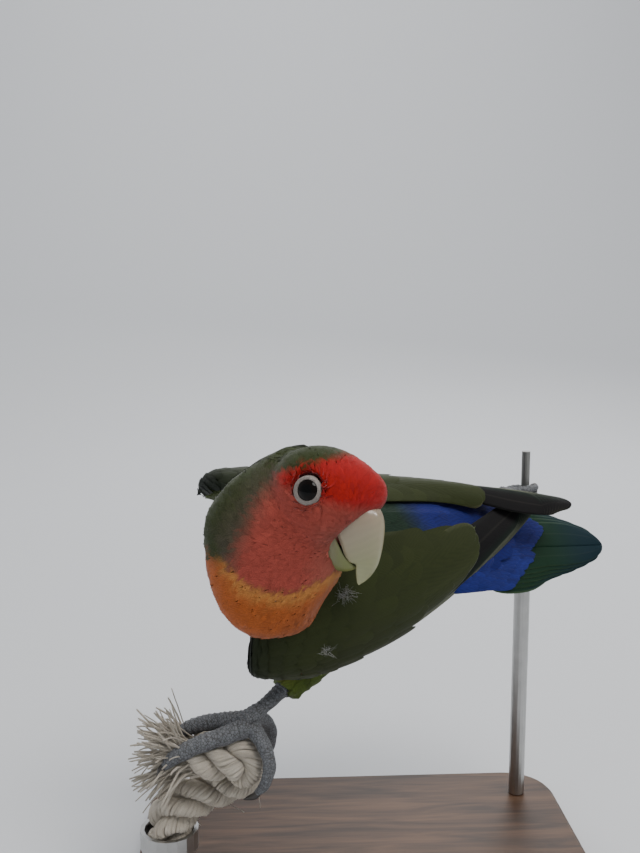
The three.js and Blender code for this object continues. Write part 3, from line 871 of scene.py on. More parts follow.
starts, corners, ways = ring_roots()
count = len(starts)
ring_grid = contour_vanes(
    starts, corners, np.full((count, 3), 1 / 3), RANDOM.uniform(1.3, 1.8, count),
    RANDOM.uniform(0.30, 0.38, count), np.full(count, 0.16), 0.03, ways,
)
grid, roots = raised_at_eyes(np.concatenate([grid, ring_grid])), np.concatenate([roots, starts])
gone = np.concatenate([gone, np.full(count, 10.0)])
tips = grid[:, -2, MIDDLE]
tone = vane_tones(len(roots), VANE_ROWS, 0.07)
strayed = RANDOM.normal(0, 1, (len(roots), 1, 1, 3)) * np.interp(gone, *STRAY)[:, None, None, None]
colours = (0.12 * plumage(tips)[:, None, None] + 0.88 * plumage(grid + strayed)) * tone

# Coat: the feathers are joined by their way from the bill into face, throat and body.
# Each has its own small place on an unwrap of the hide, for its baked colours.
COAT_HEAD_END = 22
COAT_NECK_END = 42
MOST_VANES = 3000


def unrolled(axes, roots, low, high, along, up_axis):
    """Places of the roots on the hide, unrolled about one axis of the head or the trunk."""
    local = axes.into(roots)
    first, second = [axis for axis in range(3) if axis != along]
    turn = np.arctan2(local[:, first], local[:, second] + up_axis) / (2 * np.pi) + 0.5
    return inset(np.stack([turn, np.clip((local[:, along] - low) / (high - low), 0, 1)], 1))


head_map = unrolled(head_axes, roots, -32, 20, 2, 0)
body_map = unrolled(trunk_axes, roots, -60, 50, 0, 4)
COAT_PARTS = [
    ("coat_head", "face_feathers", 0, COAT_HEAD_END, head_map),
    ("coat_neck", "throat_feathers", COAT_HEAD_END, COAT_NECK_END, head_map),
    ("coat_body", "body_feathers", COAT_NECK_END, math.inf, body_map),
]
for name, slot, near, far, root_map in COAT_PARTS:
    chosen = np.flatnonzero((gone >= near) & (gone < far))
    for turn, share in enumerate(np.array_split(chosen, math.ceil(len(chosen) / MOST_VANES)), 1):
        made = coat_piece(f"{name}_{turn}", grid[share], colours[share], root_map[share], soft_plumage)

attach(skin, "root")
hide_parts(*SKIN_NODES)

# Wings: folded over the sides, each from its wrist over the coverts to the tips of the flight feathers.
# Rows give a point of the low leading edge, one over the side and one of the edge by the back.
LEFT_WING = [
    (28.6, 25.4, 0, 29.8, 26, 2, 28.6, 24.4, 4), (24.5, 27.5, -6, 28, 35.5, 5, 24, 18, 16),
    (9, 28.6, -9.8, 10, 36, 9, 3, 10.5, 22.5), (-12, 23, -8, -12, 29, 9, -16, 6.5, 19),
    (-32, 13.5, -2.8, -32, 18, 8.5, -34, 0.5, 15), (-50, 2.4, 4.0, -50, 2.5, 9.4, -50, -9, 10.1),
    (-62, -7.5, 5.4, -62, -9.0, 8.8, -62, -14.8, 8.8),
]
RIGHT_WING = [
    (37, -27, 0, 40, -29, 3, 37, -25, 6), (30, -29, -6, 35, -37.5, 9, 27, -22, 17),
    (10, -29, -9, 10, -35.5, 13, 4, -15.8, 19), (-12, -25, -6.5, -12, -29.5, 13, -15, -15, 15.6),
    (-32, -20.8, 0.5, -32, -22, 14.5, -34, -12.6, 12.8), (-53, -15, 8.8, -53, -14.2, 14.2, -54, -5.2, 11.9),
    (-71, -10.8, 8.4, -71, -7.0, 13.0, -71, -2.2, 11.8),
]
WING_OLIVE = (0.026, 0.034, 0.0065)
# Painted shade: the coverts at the wrist and along the wing's low edge are drawn towards this dark colour.
WRIST_PAINTED_SHADE = (0.0045, 0.0085, 0.0035)
FLIGHT_DARK = (0.0036, 0.0030, 0.0034)
OUTER_WEB = (0.006, 0.022, 0.013)
WEB_EDGE = (0.25, 0.26, 0.17)
FRINGE = (0.16, 0.15, 0.09)
# Rows of coverts: where their tips lie along the wing, and their length and half-breadth.
COVERT_ROWS = [
    (0.035, 4, 1.7), (0.065, 5, 1.8), (0.095, 5.5, 1.9), (0.13, 6, 2.1), (0.165, 7, 2.2), (0.20, 8, 2.4),
    (0.24, 9, 2.6), (0.285, 10, 2.8), (0.33, 11, 3.0), (0.38, 12, 3.2), (0.435, 14, 3.5), (0.50, 16, 3.8),
    (0.57, 20, 4.2),
]
OVER_FLIGHTS = 0.20
BACK_COVERTS = 12
TERTIALS = 8
PRIMARIES = 10
# Rows and columns of corners in one vane
COVERT_GRID = (12, 9)
TERTIAL_GRID = (22, 11)
PRIMARY_GRID = (26, 15)


def smooth_rows(rows, shares):
    """Points of a smooth curve through rows of numbers, at shares of its way from 0 to 1."""
    rows = np.asarray(rows, float)
    padded = np.vstack([2 * rows[0] - rows[1], rows, 2 * rows[-1] - rows[-2]])
    place = np.clip(np.asarray(shares, float), -0.02, 1.02) * (len(rows) - 1)
    first = np.clip(np.floor(place).astype(int), 0, len(rows) - 2)
    t = (place - first)[..., None]
    a, b, c, d = (padded[first + k] for k in range(4))
    square, cube = 2 * a - 5 * b + 4 * c - d, 3 * b - a - 3 * c + d
    return 0.5 * (2 * b + (c - a) * t + square * t ** 2 + cube * t ** 3)


class WingForm:
    """The outer surface of a folded wing: along from wrist to tip, over from the low edge to the back."""

    def __init__(self, rows, side):
        self.rows = rows
        self.side = side

    def bow(self, along, over):
        """Points of the surface, in the trunk's axes."""
        row = smooth_rows(self.rows, along)
        lead, crest, trail = row[..., 0:3], row[..., 3:6], row[..., 6:9]
        over = np.asarray(over, float)[..., None]
        return (1 - over) ** 2 * lead + 2 * over * (1 - over) * crest + over ** 2 * trail

    def up(self, along, over):
        """The way out of the surface."""
        small = 0.01
        ahead = self.bow(along + small, over) - self.bow(along - small, over)
        across = self.bow(along, over + small) - self.bow(along, over - small)
        return unit(np.cross(ahead, across)) * self.side

    def chord(self, along):
        """The way over the wing from its low edge to the back."""
        overs = np.linspace(0, 1, 9) * np.ones((*np.shape(along), 9))
        points = self.bow(np.repeat(np.asarray(along)[..., None], 9, -1), overs)
        return np.linalg.norm(np.diff(points, axis=-2), axis=-1).sum(-1)


def tip_shape(rows, narrow, blunt):
    """Shares along and half-breadths of a vane that ends in a round or pointed tip."""
    share = np.sin(np.linspace(0, 1, rows) * np.pi / 2) ** 0.9
    body = narrow + (1 - narrow) * ease(share, 0.0, 0.4)
    end = np.clip((share - blunt) / (1 - blunt), 0, 1)
    return share, np.maximum(body * np.sqrt(1 - end ** 2.2), 0.07)


def wing_vanes(form, roots, tips, half, levels, size=COVERT_GRID, narrow=0.5, blunt=0.6, cup=0.05,
               reach=1.12, even=None):
    """Vanes laid on a wing. Roots and tips are places along and over it, half is in millimetres."""
    rows, columns = size
    roots, tips = np.asarray(roots, float), np.asarray(tips, float)
    half = np.broadcast_to(np.asarray(half, float), len(roots))
    share, breadth = tip_shape(rows, narrow, blunt)
    along = roots[:, :1] + (tips[:, :1] - roots[:, :1]) * share
    over = roots[:, 1:] + (tips[:, 1:] - roots[:, 1:]) * share
    across = np.linspace(-1, 1, columns)
    wide = half[:, None] * breadth
    shift = (wide / np.maximum(form.chord(along), 4.0))[..., None] * across
    if even is not None:
        shift = even * breadth[None, :, None] * across
    overs = np.clip(over[..., None] + shift, -0.02, reach)
    alongs = np.repeat(along[..., None], columns, -1)
    up = form.up(alongs, np.clip(overs, 0.02, 0.98))
    low, high = (np.asarray(level, float).reshape(-1, 1) for level in levels)
    tucked = low + (high - low) * share[None] - 1.2 * (1 - ease(along, 0, 0.05))
    level = tucked[..., None] - cup * wide[..., None] * across ** 2
    return trunk_axes.out(form.bow(alongs, overs) + up * level[..., None])


def covert_rows(form):
    """Roots, tips and half-breadths of the staggered rows of coverts."""
    roots, tips, halves = [], [], []
    middle = form.bow(np.array([0.35, 0.5]), np.array([0.5, 0.5]))
    total = float(np.linalg.norm(middle[1] - middle[0]) / 0.15)
    for k, (end, length, half) in enumerate(COVERT_ROWS):
        first = 0.02 + OVER_FLIGHTS * float(ease(end, 0.28, 0.5))
        chord = float(form.chord(np.array([end]))[0])
        count = max(3, int(chord * (1 - first) / (half * 1.15)))
        for j in range(count + 1):
            over = first + (1 - first) * (j + 0.5 * (k % 2)) / count
            over += RANDOM.normal(0, 0.006)
            end_here = end + RANDOM.normal(0, 0.006)
            roots.append((max(0.0, end_here - length / total), over))
            tips.append((end_here, over + 0.01))
            halves.append(half * RANDOM.uniform(0.93, 1.07))
    return np.array(roots), np.array(tips), np.array(halves)


def feather_tones(count):
    """A tone of its own for each wing feather."""
    return np.clip(1 + RANDOM.normal(0, 0.06, count), 0.7, 1.4)[:, None, None, None]


def covert_colours(tips, rows, columns):
    """Olive coverts with painted shade: darker at the wrist, along the wing's low edge and at each covert's
    root.
    """
    tone = feather_tones(len(tips))
    # Painted shade towards the wrist and the wing's low edge.
    dark = 1 - ease(tips[:, 0], 0.06, 0.34) * ease(tips[:, 1] + tips[:, 0] * 0.6, -0.05, 0.4)
    base = mixed(painted(WING_OLIVE, (len(tips),)), WRIST_PAINTED_SHADE, dark)
    shade = np.interp(np.linspace(0, 1, rows), [0, 0.5, 0.9, 1], [0.86, 0.97, 1.0, 1.0])
    return base[:, None, None] * tone * shade[:, None, None] * np.ones((columns, 1))


def flight_colours(count, rows, columns):
    """Black-brown flight feathers with a green tinge and a thin pale edge on the outer web."""
    tone = feather_tones(count)
    across = np.linspace(-1, 1, columns)
    base = painted(FLIGHT_DARK, (count, rows, columns))
    base = mixed(base, OUTER_WEB, ease(-across, 0.3, 0.9) * 0.45 * np.ones((count, rows, 1)))
    fading = np.interp(np.linspace(0, 1, rows), [0, 0.5, 0.8, 0.95], [1, 1, 0.35, 0.05])
    edge = ease(-across, 0.84, 1.0) * fading[:, None] * 0.75
    inner = ease(across, 0.86, 1.0) * 0.12
    return mixed(base, WEB_EDGE, np.maximum(edge, inner)) * tone


def stiffened(thing, thickness):
    """Gives the vanes of a piece a thickness below their upper faces."""
    applied(thing, ("SOLIDIFY", {"thickness": thickness * MM, "offset": -1}))


wing_plumage = plumage_material("wing_plumage", 16.0, 0.12, 0.0, 0.7, 0.12, 0.25)
flight_plumage = plumage_material("flight_plumage", 60.0, 0.2, 0.04, 0.72, 0.0, 0.4)


def build_coverts(name, form, green_end, back_fall):
    """The coverts of a wing, and a row of longer ones along the back."""
    roots, tips, halves = covert_rows(form)
    grid = wing_vanes(form, roots, tips, halves, (-0.40, 0.12))
    colours = covert_colours(tips, *COVERT_GRID)
    back_roots = np.stack([np.linspace(0.16, green_end - 0.26, BACK_COVERTS), np.ones(BACK_COVERTS)], 1)
    back_tips = back_roots + np.array([0.20, back_fall])
    grid = np.concatenate([grid, wing_vanes(form, back_roots, back_tips, 3.4, (-0.5, 0.1))])
    colours = np.concatenate([colours, covert_colours(back_tips, *COVERT_GRID)])
    root_map = inset(np.clip(np.concatenate([roots, back_roots]), 0, 1))
    coverts = coat_piece(f"coverts_{name}", grid, colours, root_map, wing_plumage)


def build_tertials(name, form, green_end, fringe):
    """The long inner feathers that close the folded wing over the back."""
    rows, columns = TERTIAL_GRID
    order = np.arange(TERTIALS)
    overs = np.linspace(0.34, 0.88, TERTIALS)
    roots = np.stack([np.full(TERTIALS, green_end - 0.42), overs - 0.06], 1)
    ends = green_end - 0.16 * np.clip(1 - order / 4, 0, 1) ** 1.6 - 0.012 * (order - 5) ** 2 / 4
    tips = np.stack([ends, overs + 0.02], 1)
    levels = (-0.95 + 0.07 * order, -0.1 + 0.05 * order)
    grid = wing_vanes(form, roots, tips, 5.0, levels, TERTIAL_GRID, blunt=0.72, cup=0.06)
    rim = ease(np.linspace(-1, 1, columns), 0.88, 1.0) * fringe * ease(order, 6, 7)[:, None]
    colours = mixed(covert_colours(tips, rows, columns), FRINGE, rim[:, None] * np.ones((1, rows, 1)))
    tertials = coat_piece(f"tertials_{name}", grid, colours, inset(np.clip(roots, 0, 1)), wing_plumage)
    stiffened(tertials, 0.10)


def build_primaries(name, form, green_end):
    """The dark flight feathers, stacked so that each shows a narrow strip below the one above it."""
    order = np.arange(PRIMARIES)
    starts = 0.43 + 0.030 * order
    roots = np.stack([np.full(PRIMARIES, green_end - 0.40), starts], 1)
    tips = np.stack([1.0 - 0.010 * order, starts + np.linspace(0.02, 0.10, PRIMARIES)], 1)
    half = form.chord(np.full(PRIMARIES, 0.80)) * 0.42
    levels = (-1.15 + 0.045 * order, -0.66 + 0.06 * order)
    grid = wing_vanes(form, roots, tips, half, levels, PRIMARY_GRID, narrow=0.95, blunt=0.92, cup=0.02,
                      reach=1.0, even=0.42)
    colours = flight_colours(PRIMARIES, *PRIMARY_GRID)
    root_map = inset(np.clip(roots, 0, 1))
    flight = coat_piece(f"flight_feathers_{name}", grid, colours, root_map, flight_plumage)
    stiffened(flight, 0.12)
    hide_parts(f"primaries_{name}")


for name, rows, side, green_end, back_fall, fringe in (
    ("left", LEFT_WING, 1, 0.735, -0.04, 0.1), ("right", RIGHT_WING, -1, 0.765, 0.05, 0.5),
):
    form = WingForm(rows, side)
    build_coverts(name, form, green_end, back_fall)
    build_tertials(name, form, green_end, fringe)
    build_primaries(name, form, green_end)

# Tail: twelve stiff feathers, the middle pair on top and side by side, the outer ones shorter below.
# Long blue coverts lie over their roots in two lobes.
# Rows of the upper face: place along the trunk, half-breadth, arch and height.
TAIL_ROWS = [
    (-33, 14, 7, 0), (-42, 14, 4.6, -0.5), (-50, 13.2, 2.6, -2), (-60, 12.2, 1.5, -3.5),
    (-68, 10.4, 1.1, -5), (-76, 6.4, 0.9, -6.3), (-82, 2.6, 0.7, -7.2), (-84.5, 0.6, 0.4, -7.6),
]
# Pairs of feathers from the middle out: side of the root, end along the trunk, side of the tip.
TAIL_PAIRS = [
    (3.9, -84.4, 1.5), (5.2, -82.2, 4.0), (6.4, -79.0, 5.8), (7.6, -75.0, 7.6), (8.8, -70.3, 9.3),
    (9.8, -64.5, 10.9),
]
TAIL_START = -38
TAIL_GRID = (26, 13)
TAIL_HALF = 4.3
LEFT_NARROW = ([-84, -74, -65, -58, -45], [0.76, 0.75, 0.74, 0.86, 1.0])
TAIL_GREEN = (0.003, 0.027, 0.010)
TAIL_TEAL = (0.001, 0.017, 0.026)
TAIL_ORANGE = (0.42, 0.09, 0.012)
TAIL_BAR = (0.006, 0.006, 0.006)
TAIL_EDGE = (0.16, 0.24, 0.12)
COVERT_BLUE = (0.010, 0.017, 0.15)
# Layers of blue coverts from the lowest: how far their tips lie behind its own, and their number.
COVERT_LAYERS = [(0, 54), (-4, 44), (-8, 30), (-12, 26), (-15, 22)]


def tail_top(place, across, sink):
    """Points on the upper face of the tail, in the trunk's axes."""
    rows = np.array(TAIL_ROWS, float)[::-1]
    half, thick, height = (np.interp(place, rows[:, 0], rows[:, k]) for k in (1, 2, 3))
    round_over = np.sqrt(np.clip(1 - (across / np.maximum(half + 1.5, 1)) ** 2, 0.05, 1))
    return np.stack([place, across, height + thick * round_over - sink], -1)


def tail_colours(pair, side, share, across):
    """One feather: green to teal, with a half-hidden orange band and black bar on its inner web."""
    every = np.ones((len(share), len(across)))
    base = mixed(painted(TAIL_GREEN, every.shape), TAIL_TEAL, ease(share, 0.55, 0.9)[:, None] * every)
    if pair:
        hidden = ease(-side * across, -0.1, 0.4)
        orange = ease(share, 0.2, 0.4) * ease(-share, -0.72, -0.62)
        base = mixed(base, TAIL_ORANGE, orange[:, None] * hidden)
        base = mixed(base, TAIL_BAR, np.exp(-((share - 0.76) / 0.05) ** 2)[:, None] * hidden)
    strength = 0.5 if pair == len(TAIL_PAIRS) - 1 else 0.12
    return mixed(base, TAIL_EDGE, ease(side * across, 0.85, 1.0) * strength * every)


def tail_vanes():
    """The twelve feathers, from the middle pair out, and their colours and places on the unwrap."""
    grids, colours, roots = [], [], []
    share, breadth = tip_shape(TAIL_GRID[0], 0.75, 0.62)
    across = np.linspace(-1, 1, TAIL_GRID[1])
    for side in (1, -1):
        for k, (root, end, tip) in enumerate(TAIL_PAIRS):
            place = TAIL_START + (end - TAIL_START) * share
            middle = root * 0.75 + (tip - root * 0.75) * share ** 1.5 + 1.9 * np.sin(np.pi * share)
            if k == 0:
                middle = TAIL_HALF * breadth * 0.97 + 0.02
            spread = (side * middle)[:, None] + TAIL_HALF * breadth[:, None] * across
            if side > 0:
                spread = spread * np.interp(place, *LEFT_NARROW)[:, None]
            sink = 0.24 * k + (0.05 if side > 0 else 0.0) + 0.05 * across ** 2 * TAIL_HALF
            grids.append(trunk_axes.out(tail_top(place[:, None] * np.ones_like(spread), spread, sink)))
            colours.append(tail_colours(k, side, share, across))
            roots.append((0.05 + 0.07 * (k * 2 + (side > 0)), 0.5))
    return np.array(grids), np.array(colours), roots


tail_feathers = coat_piece("tail_feathers", *tail_vanes(), flight_plumage)
stiffened(tail_feathers, 0.14)


def tail_coverts():
    """Layers of long soft blue feathers over the root of the tail, in two lobes."""
    rows, columns = 10, 7
    share, breadth = tip_shape(rows, 0.55, 0.5)
    across = np.linspace(-1, 1, columns)
    grids, roots = [], []
    for layer, (reach, count) in enumerate(COVERT_LAYERS):
        for j in range(count):
            side = -12.5 + 25 * (j + 0.5 * (layer % 2)) / (count - 1) + RANDOM.normal(0, 0.3)
            lobe = min(abs(side + 5.5) - 1, abs(side - 3.2) + 5)
            end = -65.5 + max(0, lobe) - reach + RANDOM.normal(0, 0.35)
            length = 18 + RANDOM.normal(0, 1)
            place = (end + length * (1 - share))[:, None] * np.ones(columns)
            half = 1.7 * RANDOM.uniform(0.9, 1.1)
            spread = (side * (0.86 + 0.14 * share))[:, None] + half * breadth[:, None] * across
            lift = 0.3 + 0.16 * layer + 0.2 * share[:, None] - 0.1 * across ** 2
            grids.append(trunk_axes.out(tail_top(place, spread, -lift)))
            roots.append(((side + 14) / 28 * 0.9 + 0.05, 0.1 + 0.2 * layer))
    tone = vane_tones(len(grids), rows, 0.10)
    return np.array(grids), painted(COVERT_BLUE, (len(grids), rows, columns)) * tone, np.array(roots)


coverts = coat_piece("tail_coverts", *tail_coverts(), soft_plumage)

# Rump: long soft feathers from the middle of the back to the tail, green-black with painted shade, turning to
# violet blue.
# They fill the hollow between the folded wings and lie over the flanks under the right wing's edge.
# Rows of the surface: place along the trunk, and its height at each of the sides below.
RUMP_ROWS = [
    (-6, 18.0, 19.6, 18.4, 14.0, 8.0), (-18, 14.0, 17.4, 16.2, 11.6, 5.0), (-30, 8.1, 13.0, 13.0, 9.8, 3.4),
    (-42, 3.7, 7.7, 8.3, 6.8, 1.8), (-54, 0.2, 2.3, 2.5, 1.2, -2.4),
]
RUMP_SIDES = [8, 1, -7, -14, -20]
RUMP_LAYERS = 9
RUMP_ACROSS = 18


def rump_surface(place, across):
    """Points of the rump's surface, in the trunk's axes."""
    rows = np.array(RUMP_ROWS, float)[::-1]
    heights = np.stack([np.interp(place, rows[:, 0], rows[:, k + 1]) for k in range(5)], -1)
    sides = np.array(RUMP_SIDES[::-1], float)
    step = np.clip(np.searchsorted(sides, across) - 1, 0, 3)
    share = np.clip((across - sides[step]) / (sides[step + 1] - sides[step]), 0, 1)
    low = np.take_along_axis(heights, (4 - step)[..., None], -1)[..., 0]
    high = np.take_along_axis(heights, (3 - step)[..., None], -1)[..., 0]
    return np.stack([place, across, low + (high - low) * share], -1)


def rump_vanes():
    """Layers of soft feathers from the tail up the back, where the wings leave room for them."""
    rows, columns = 12, 9
    share, breadth = tip_shape(rows, 0.6, 0.55)
    across = np.linspace(-1, 1, columns)
    grids, roots = [], []
    for layer in range(RUMP_LAYERS):
        end = -52 + 4.6 * layer
        for j in range(RUMP_ACROSS):
            side = -18 + 25 * (j + 0.5 * (layer % 2)) / (RUMP_ACROSS - 1) + RANDOM.normal(0, 0.3)
            length = 15 * RANDOM.uniform(0.92, 1.08)
            place = end + RANDOM.normal(0, 1.2) + length * (1 - share)
            middle = side + (side + 4) * 0.08 * (1 - share)
            half = 2.6 * RANDOM.uniform(0.9, 1.1)
            spread = middle[:, None] + half * breadth[:, None] * across
            point = rump_surface(place[:, None] * np.ones(columns), spread)
            point[..., 2] += 0.05 * layer + 0.25 * share[:, None] - 0.5 * (1 - share[:, None]) ** 2
            grids.append(trunk_axes.out(point))
            roots.append(((side + 20) / 30 * 0.9 + 0.05, 0.08 + 0.1 * layer))
    clear = outside_wings(np.array(grids))
    grids, roots = np.array(grids)[clear], np.array(roots)[clear]
    return grids, plumage(grids) * vane_tones(len(grids), rows, 0.08), roots


rump = coat_piece("rump_feathers", *rump_vanes(), soft_plumage)

# Eyes: dark brown globes behind a clear cornea, each in a bare white ring of fine-skinned lid.
# The globe sits deep, so that less than half of it shows inside the ring.
EYE_MIDDLE = (0.1, 8.75, 3.6)
GLOBE = 3.8
GLOBE_STEPS = 24
GLOBE_SIDES = 48
PUPIL = 1.5
LID_PROFILE = [
    (2.60, 2.56), (2.64, 2.82), (2.76, 2.94), (2.88, 2.92), (2.98, 2.85), (3.12, 2.86), (3.34, 2.74),
    (3.62, 2.45), (3.78, 1.90), (3.86, 1.10),
]
LID_SIDES = 72
LID_DRIFT = (-0.28, 0, -0.22)

eye_gloss, tree, shader = new_material("eye_gloss")
place = node(tree, "ShaderNodeUVMap", uv_map="Ring").outputs[0]
split = node(tree, "ShaderNodeSeparateXYZ", {0: place})
pupil = graded(tree, split.outputs[0], PUPIL - 0.15, PUPIL + 0.1)
brown = blend(tree, noise(tree, place, 4.0, 4.0), (0.002, 0.0014, 0.001), (0.006, 0.003, 0.002))
surfaced(shader, blend(tree, pupil, (0.002, 0.002, 0.002), brown),
         {"Roughness": 0.03, "Specular IOR Level": 0.16})

lid_skin, tree, shader = new_material("lid_skin")
place = body_place(tree)
spots = node(tree, "ShaderNodeTexVoronoi", {"Vector": place, "Scale": 2600.0}).outputs[0]
tone = blend(tree, noise(tree, place, 700.0, 3.0), (0.14, 0.12, 0.11), (0.29, 0.25, 0.22))
surfaced(shader, tone, {"Roughness": 0.55}, (spots, 0.8, 0.00015))


def ring_faces(rings, sides):
    """The faces between rings of corners."""
    return [
        (r * sides + i, r * sides + (i + 1) % sides, (r + 1) * sides + (i + 1) % sides, (r + 1) * sides + i)
        for r in range(rings - 1) for i in range(sides)
    ]


def one_sided(thing):
    """Turns a mesh's faces to one side."""
    made = bmesh.new()
    made.from_mesh(thing.data)
    bmesh.ops.recalc_face_normals(made, faces=made.faces)
    made.to_mesh(thing.data)
    made.free()


def mapped(thing, name, places):
    """Gives a mesh a map, from a place for each of its corners."""
    corner_of = np.zeros(len(thing.data.loops), int)
    thing.data.loops.foreach_get("vertex_index", corner_of)
    layer = thing.data.uv_layers.new(name=name)
    layer.uv.foreach_set("vector", np.asarray(places, float)[corner_of].ravel())


def turned_about(middle, axis, profile, sides):
    """Rings of points about an axis, from rows of radius and height."""
    axis = unit(axis)
    first = unit(np.cross(axis, [0, 0, 1.0]))
    second = np.cross(axis, first)
    angle = np.linspace(0, 2 * np.pi, sides, endpoint=False)[:, None]
    spokes = np.cos(angle) * first + np.sin(angle) * second
    return np.concatenate([middle + height * axis + radius * spokes for radius, height in profile])


def build_globe(name, middle, axis):
    """A dark globe with the low bulge of its cornea."""
    profile = []
    for step in range(GLOBE_STEPS + 1):
        angle = math.radians(0.6 + 150 * step / GLOBE_STEPS)
        radius = GLOBE + 0.12 * math.exp(-(math.degrees(angle) / 28) ** 2)
        profile.append((radius * math.sin(angle), radius * math.cos(angle)))
    points = turned_about(middle, axis, profile, GLOBE_SIDES)
    top = middle + profile[0][1] * unit(axis)
    faces = ring_faces(len(profile), GLOBE_SIDES)
    faces += [(len(points), (i + 1) % GLOBE_SIDES, i) for i in range(GLOBE_SIDES)]
    globe = mesh_piece(f"globe_{name}", head_axes.out(np.vstack([points, top])), faces, eye_gloss)
    turns = np.arange(GLOBE_SIDES) / GLOBE_SIDES * 6
    mapped(globe, "Ring", [(radius, turn) for radius, _ in profile for turn in turns] + [(0, 0)])
    return globe


def build_lid(name, middle, axis):
    """A bare ring of lid, drawn a little back and down at its outer edge, with fine crimps."""
    points = turned_about(middle, axis, LID_PROFILE, LID_SIDES)
    away = points - middle
    reach = np.linalg.norm(away - (away @ unit(axis))[:, None] * unit(axis), axis=1)
    around = np.arctan2(away[:, 2], away[:, 0])
    crimp = 0.015 * np.sin(26 * around) + 0.025 * np.cos(around) + 0.03 * np.cos(2 * around)
    points = points + np.array(LID_DRIFT) * ease(reach, 2.7, 3.3)[:, None] + axis * crimp[:, None]
    return mesh_piece(f"lid_{name}", head_axes.out(points), ring_faces(len(LID_PROFILE), LID_SIDES), lid_skin)


for name, side in (("left", 1), ("right", -1)):
    globe = build_globe(name, mirrored(EYE_MIDDLE, side), mirrored(EYE_AXIS, side))
    lid = build_lid(name, mirrored(EYE_MIDDLE, side), mirrored(EYE_AXIS, side))
    for made in (globe, lid):
        one_sided(made)
        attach(made, "root")
    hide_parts(f"eye_{name}")

# Bill: two horn sheaths with a satin gloss, pinkish ivory at the face and yellow-green at the tips.
# The upper one hooks over the lower, with a step in its cutting edge and faint growth lines.
# Rows from root to tip: ridge x and z, cutting edge x and z, half-breadth.
UPPER_BILL = [
    (11.0, 2.6, 5.5, -3.4, 5.9), (14.3, 2.2, 6.9, -4.7, 5.8), (16.4, 0.6, 8.2, -6.6, 5.5),
    (17.7, -2.4, 9.6, -9.0, 4.9), (18.3, -6.0, 10.8, -11.4, 4.2), (18.5, -9.6, 12.2, -12.9, 3.5),
    (18.3, -12.6, 13.6, -13.1, 2.9), (17.5, -15.2, 13.8, -15.4, 2.0), (16.4, -17.2, 14.0, -17.2, 1.2),
    (15.2, -18.7, 14.2, -18.6, 0.5), (14.6, -19.3, 14.4, -19.1, 0.12),
]
LOWER_BILL = [
    (3.5, -17.0, 5.6, -4.6, 5.6), (6.0, -17.4, 7.6, -7.0, 5.5), (8.6, -17.4, 9.2, -9.6, 4.8),
    (10.6, -16.9, 10.6, -11.7, 3.8), (12.0, -16.1, 11.8, -13.0, 2.9), (12.9, -15.3, 12.7, -13.9, 1.9),
    (13.4, -14.7, 13.2, -14.2, 0.8),
]
BILL_RINGS = 72
OUTER_CORNERS = 36
INNER_CORNERS = 14
HORN_DEPTH = (0.0008, 0.0006, 0.0004)


def ramped(tree, value, stops):
    """A colour that runs through stops, each a position and a colour, as a value grows."""
    ramp = node(tree, "ShaderNodeValToRGB", {0: value})
    elements = ramp.color_ramp.elements
    for element, (position, shade) in ((elements[0], stops[0]), (elements[1], stops[-1])):
        element.position = position
        element.color = (*shade, 1)
    for position, shade in stops[1:-1]:
        elements.new(position).color = (*shade, 1)
    return ramp.outputs[0]


def horn_material(name, stops):
    """Satin horn: stops of colour from the root of the bill to its tip, and faint growth lines."""
    made, tree, shader = new_material(name)
    place = node(tree, "ShaderNodeUVMap", uv_map="Horn").outputs[0]
    split = node(tree, "ShaderNodeSeparateXYZ", {0: place})
    along = math_node(tree, "MULTIPLY_ADD", noise(tree, place, 6.0, 3.0), 0.16, split.outputs[0])
    wave = {"Vector": place, "Scale": 5.0, "Distortion": 4.0, "Detail": 3.0}
    lines = node(tree, "ShaderNodeTexWave", wave, bands_direction="X").outputs[0]
    gloss = {"Roughness": 0.24, "Subsurface Weight": 0.12, "Subsurface Radius": HORN_DEPTH}
    tinted = blend(tree, 0.03, ramped(tree, along, stops), lines, "MULTIPLY")
    surfaced(shader, tinted, gloss, (lines, 0.05, 0.0001))
    return made


ivory = horn_material("ivory_horn", [
    (0.10, (0.34, 0.25, 0.19)), (0.34, (0.34, 0.29, 0.20)), (0.62, (0.31, 0.31, 0.17)),
    (0.95, (0.38, 0.38, 0.21)),
])
green_horn = horn_material("green_horn", [
    (0.15, (0.19, 0.17, 0.10)), (0.45, (0.17, 0.18, 0.065)), (0.75, (0.19, 0.21, 0.060)),
    (0.95, (0.24, 0.26, 0.10)),
])


def end_faces(rings, sides):
    """The two faces that close a row of rings."""
    return [tuple(range(sides))[::-1], tuple((rings - 1) * sides + i for i in range(sides))]


def build_bill(name, table, material, hollow):
    """A closed horn sheath: its outer wall runs from one cutting edge over the ridge to the other."""
    shares = np.linspace(0, 1, BILL_RINGS)
    ridge_x, ridge_z, edge_x, edge_z, half = smooth_rows(table, shares).T[..., None]
    outer = np.linspace(-math.pi / 2, math.pi / 2, OUTER_CORNERS)
    inner = np.linspace(math.pi / 2, -math.pi / 2, INNER_CORNERS + 2)[1:-1]
    across = np.concatenate([np.sign(outer) * np.abs(np.sin(outer)) ** 0.9, np.sin(inner)])
    drop = np.concatenate([1 - np.cos(outer) ** 0.95, 1 - hollow * np.cos(inner) ** 2])
    points = np.stack([
        ridge_x + (edge_x - ridge_x) * drop, np.maximum(half, 0.1) * across,
        ridge_z + (edge_z - ridge_z) * drop,
    ], -1)
    faces = ring_faces(BILL_RINGS, len(across)) + end_faces(BILL_RINGS, len(across))
    made = mesh_piece(f"bill_horn_{name}", head_axes.out(points.reshape(-1, 3)), faces, material)
    places = np.stack(np.meshgrid(shares, across * 0.4 + 0.5, indexing="ij"), -1)
    mapped(made, "Horn", places.reshape(-1, 2))
    one_sided(made)
    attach(made, "root")
    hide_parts(f"bill_{name}")


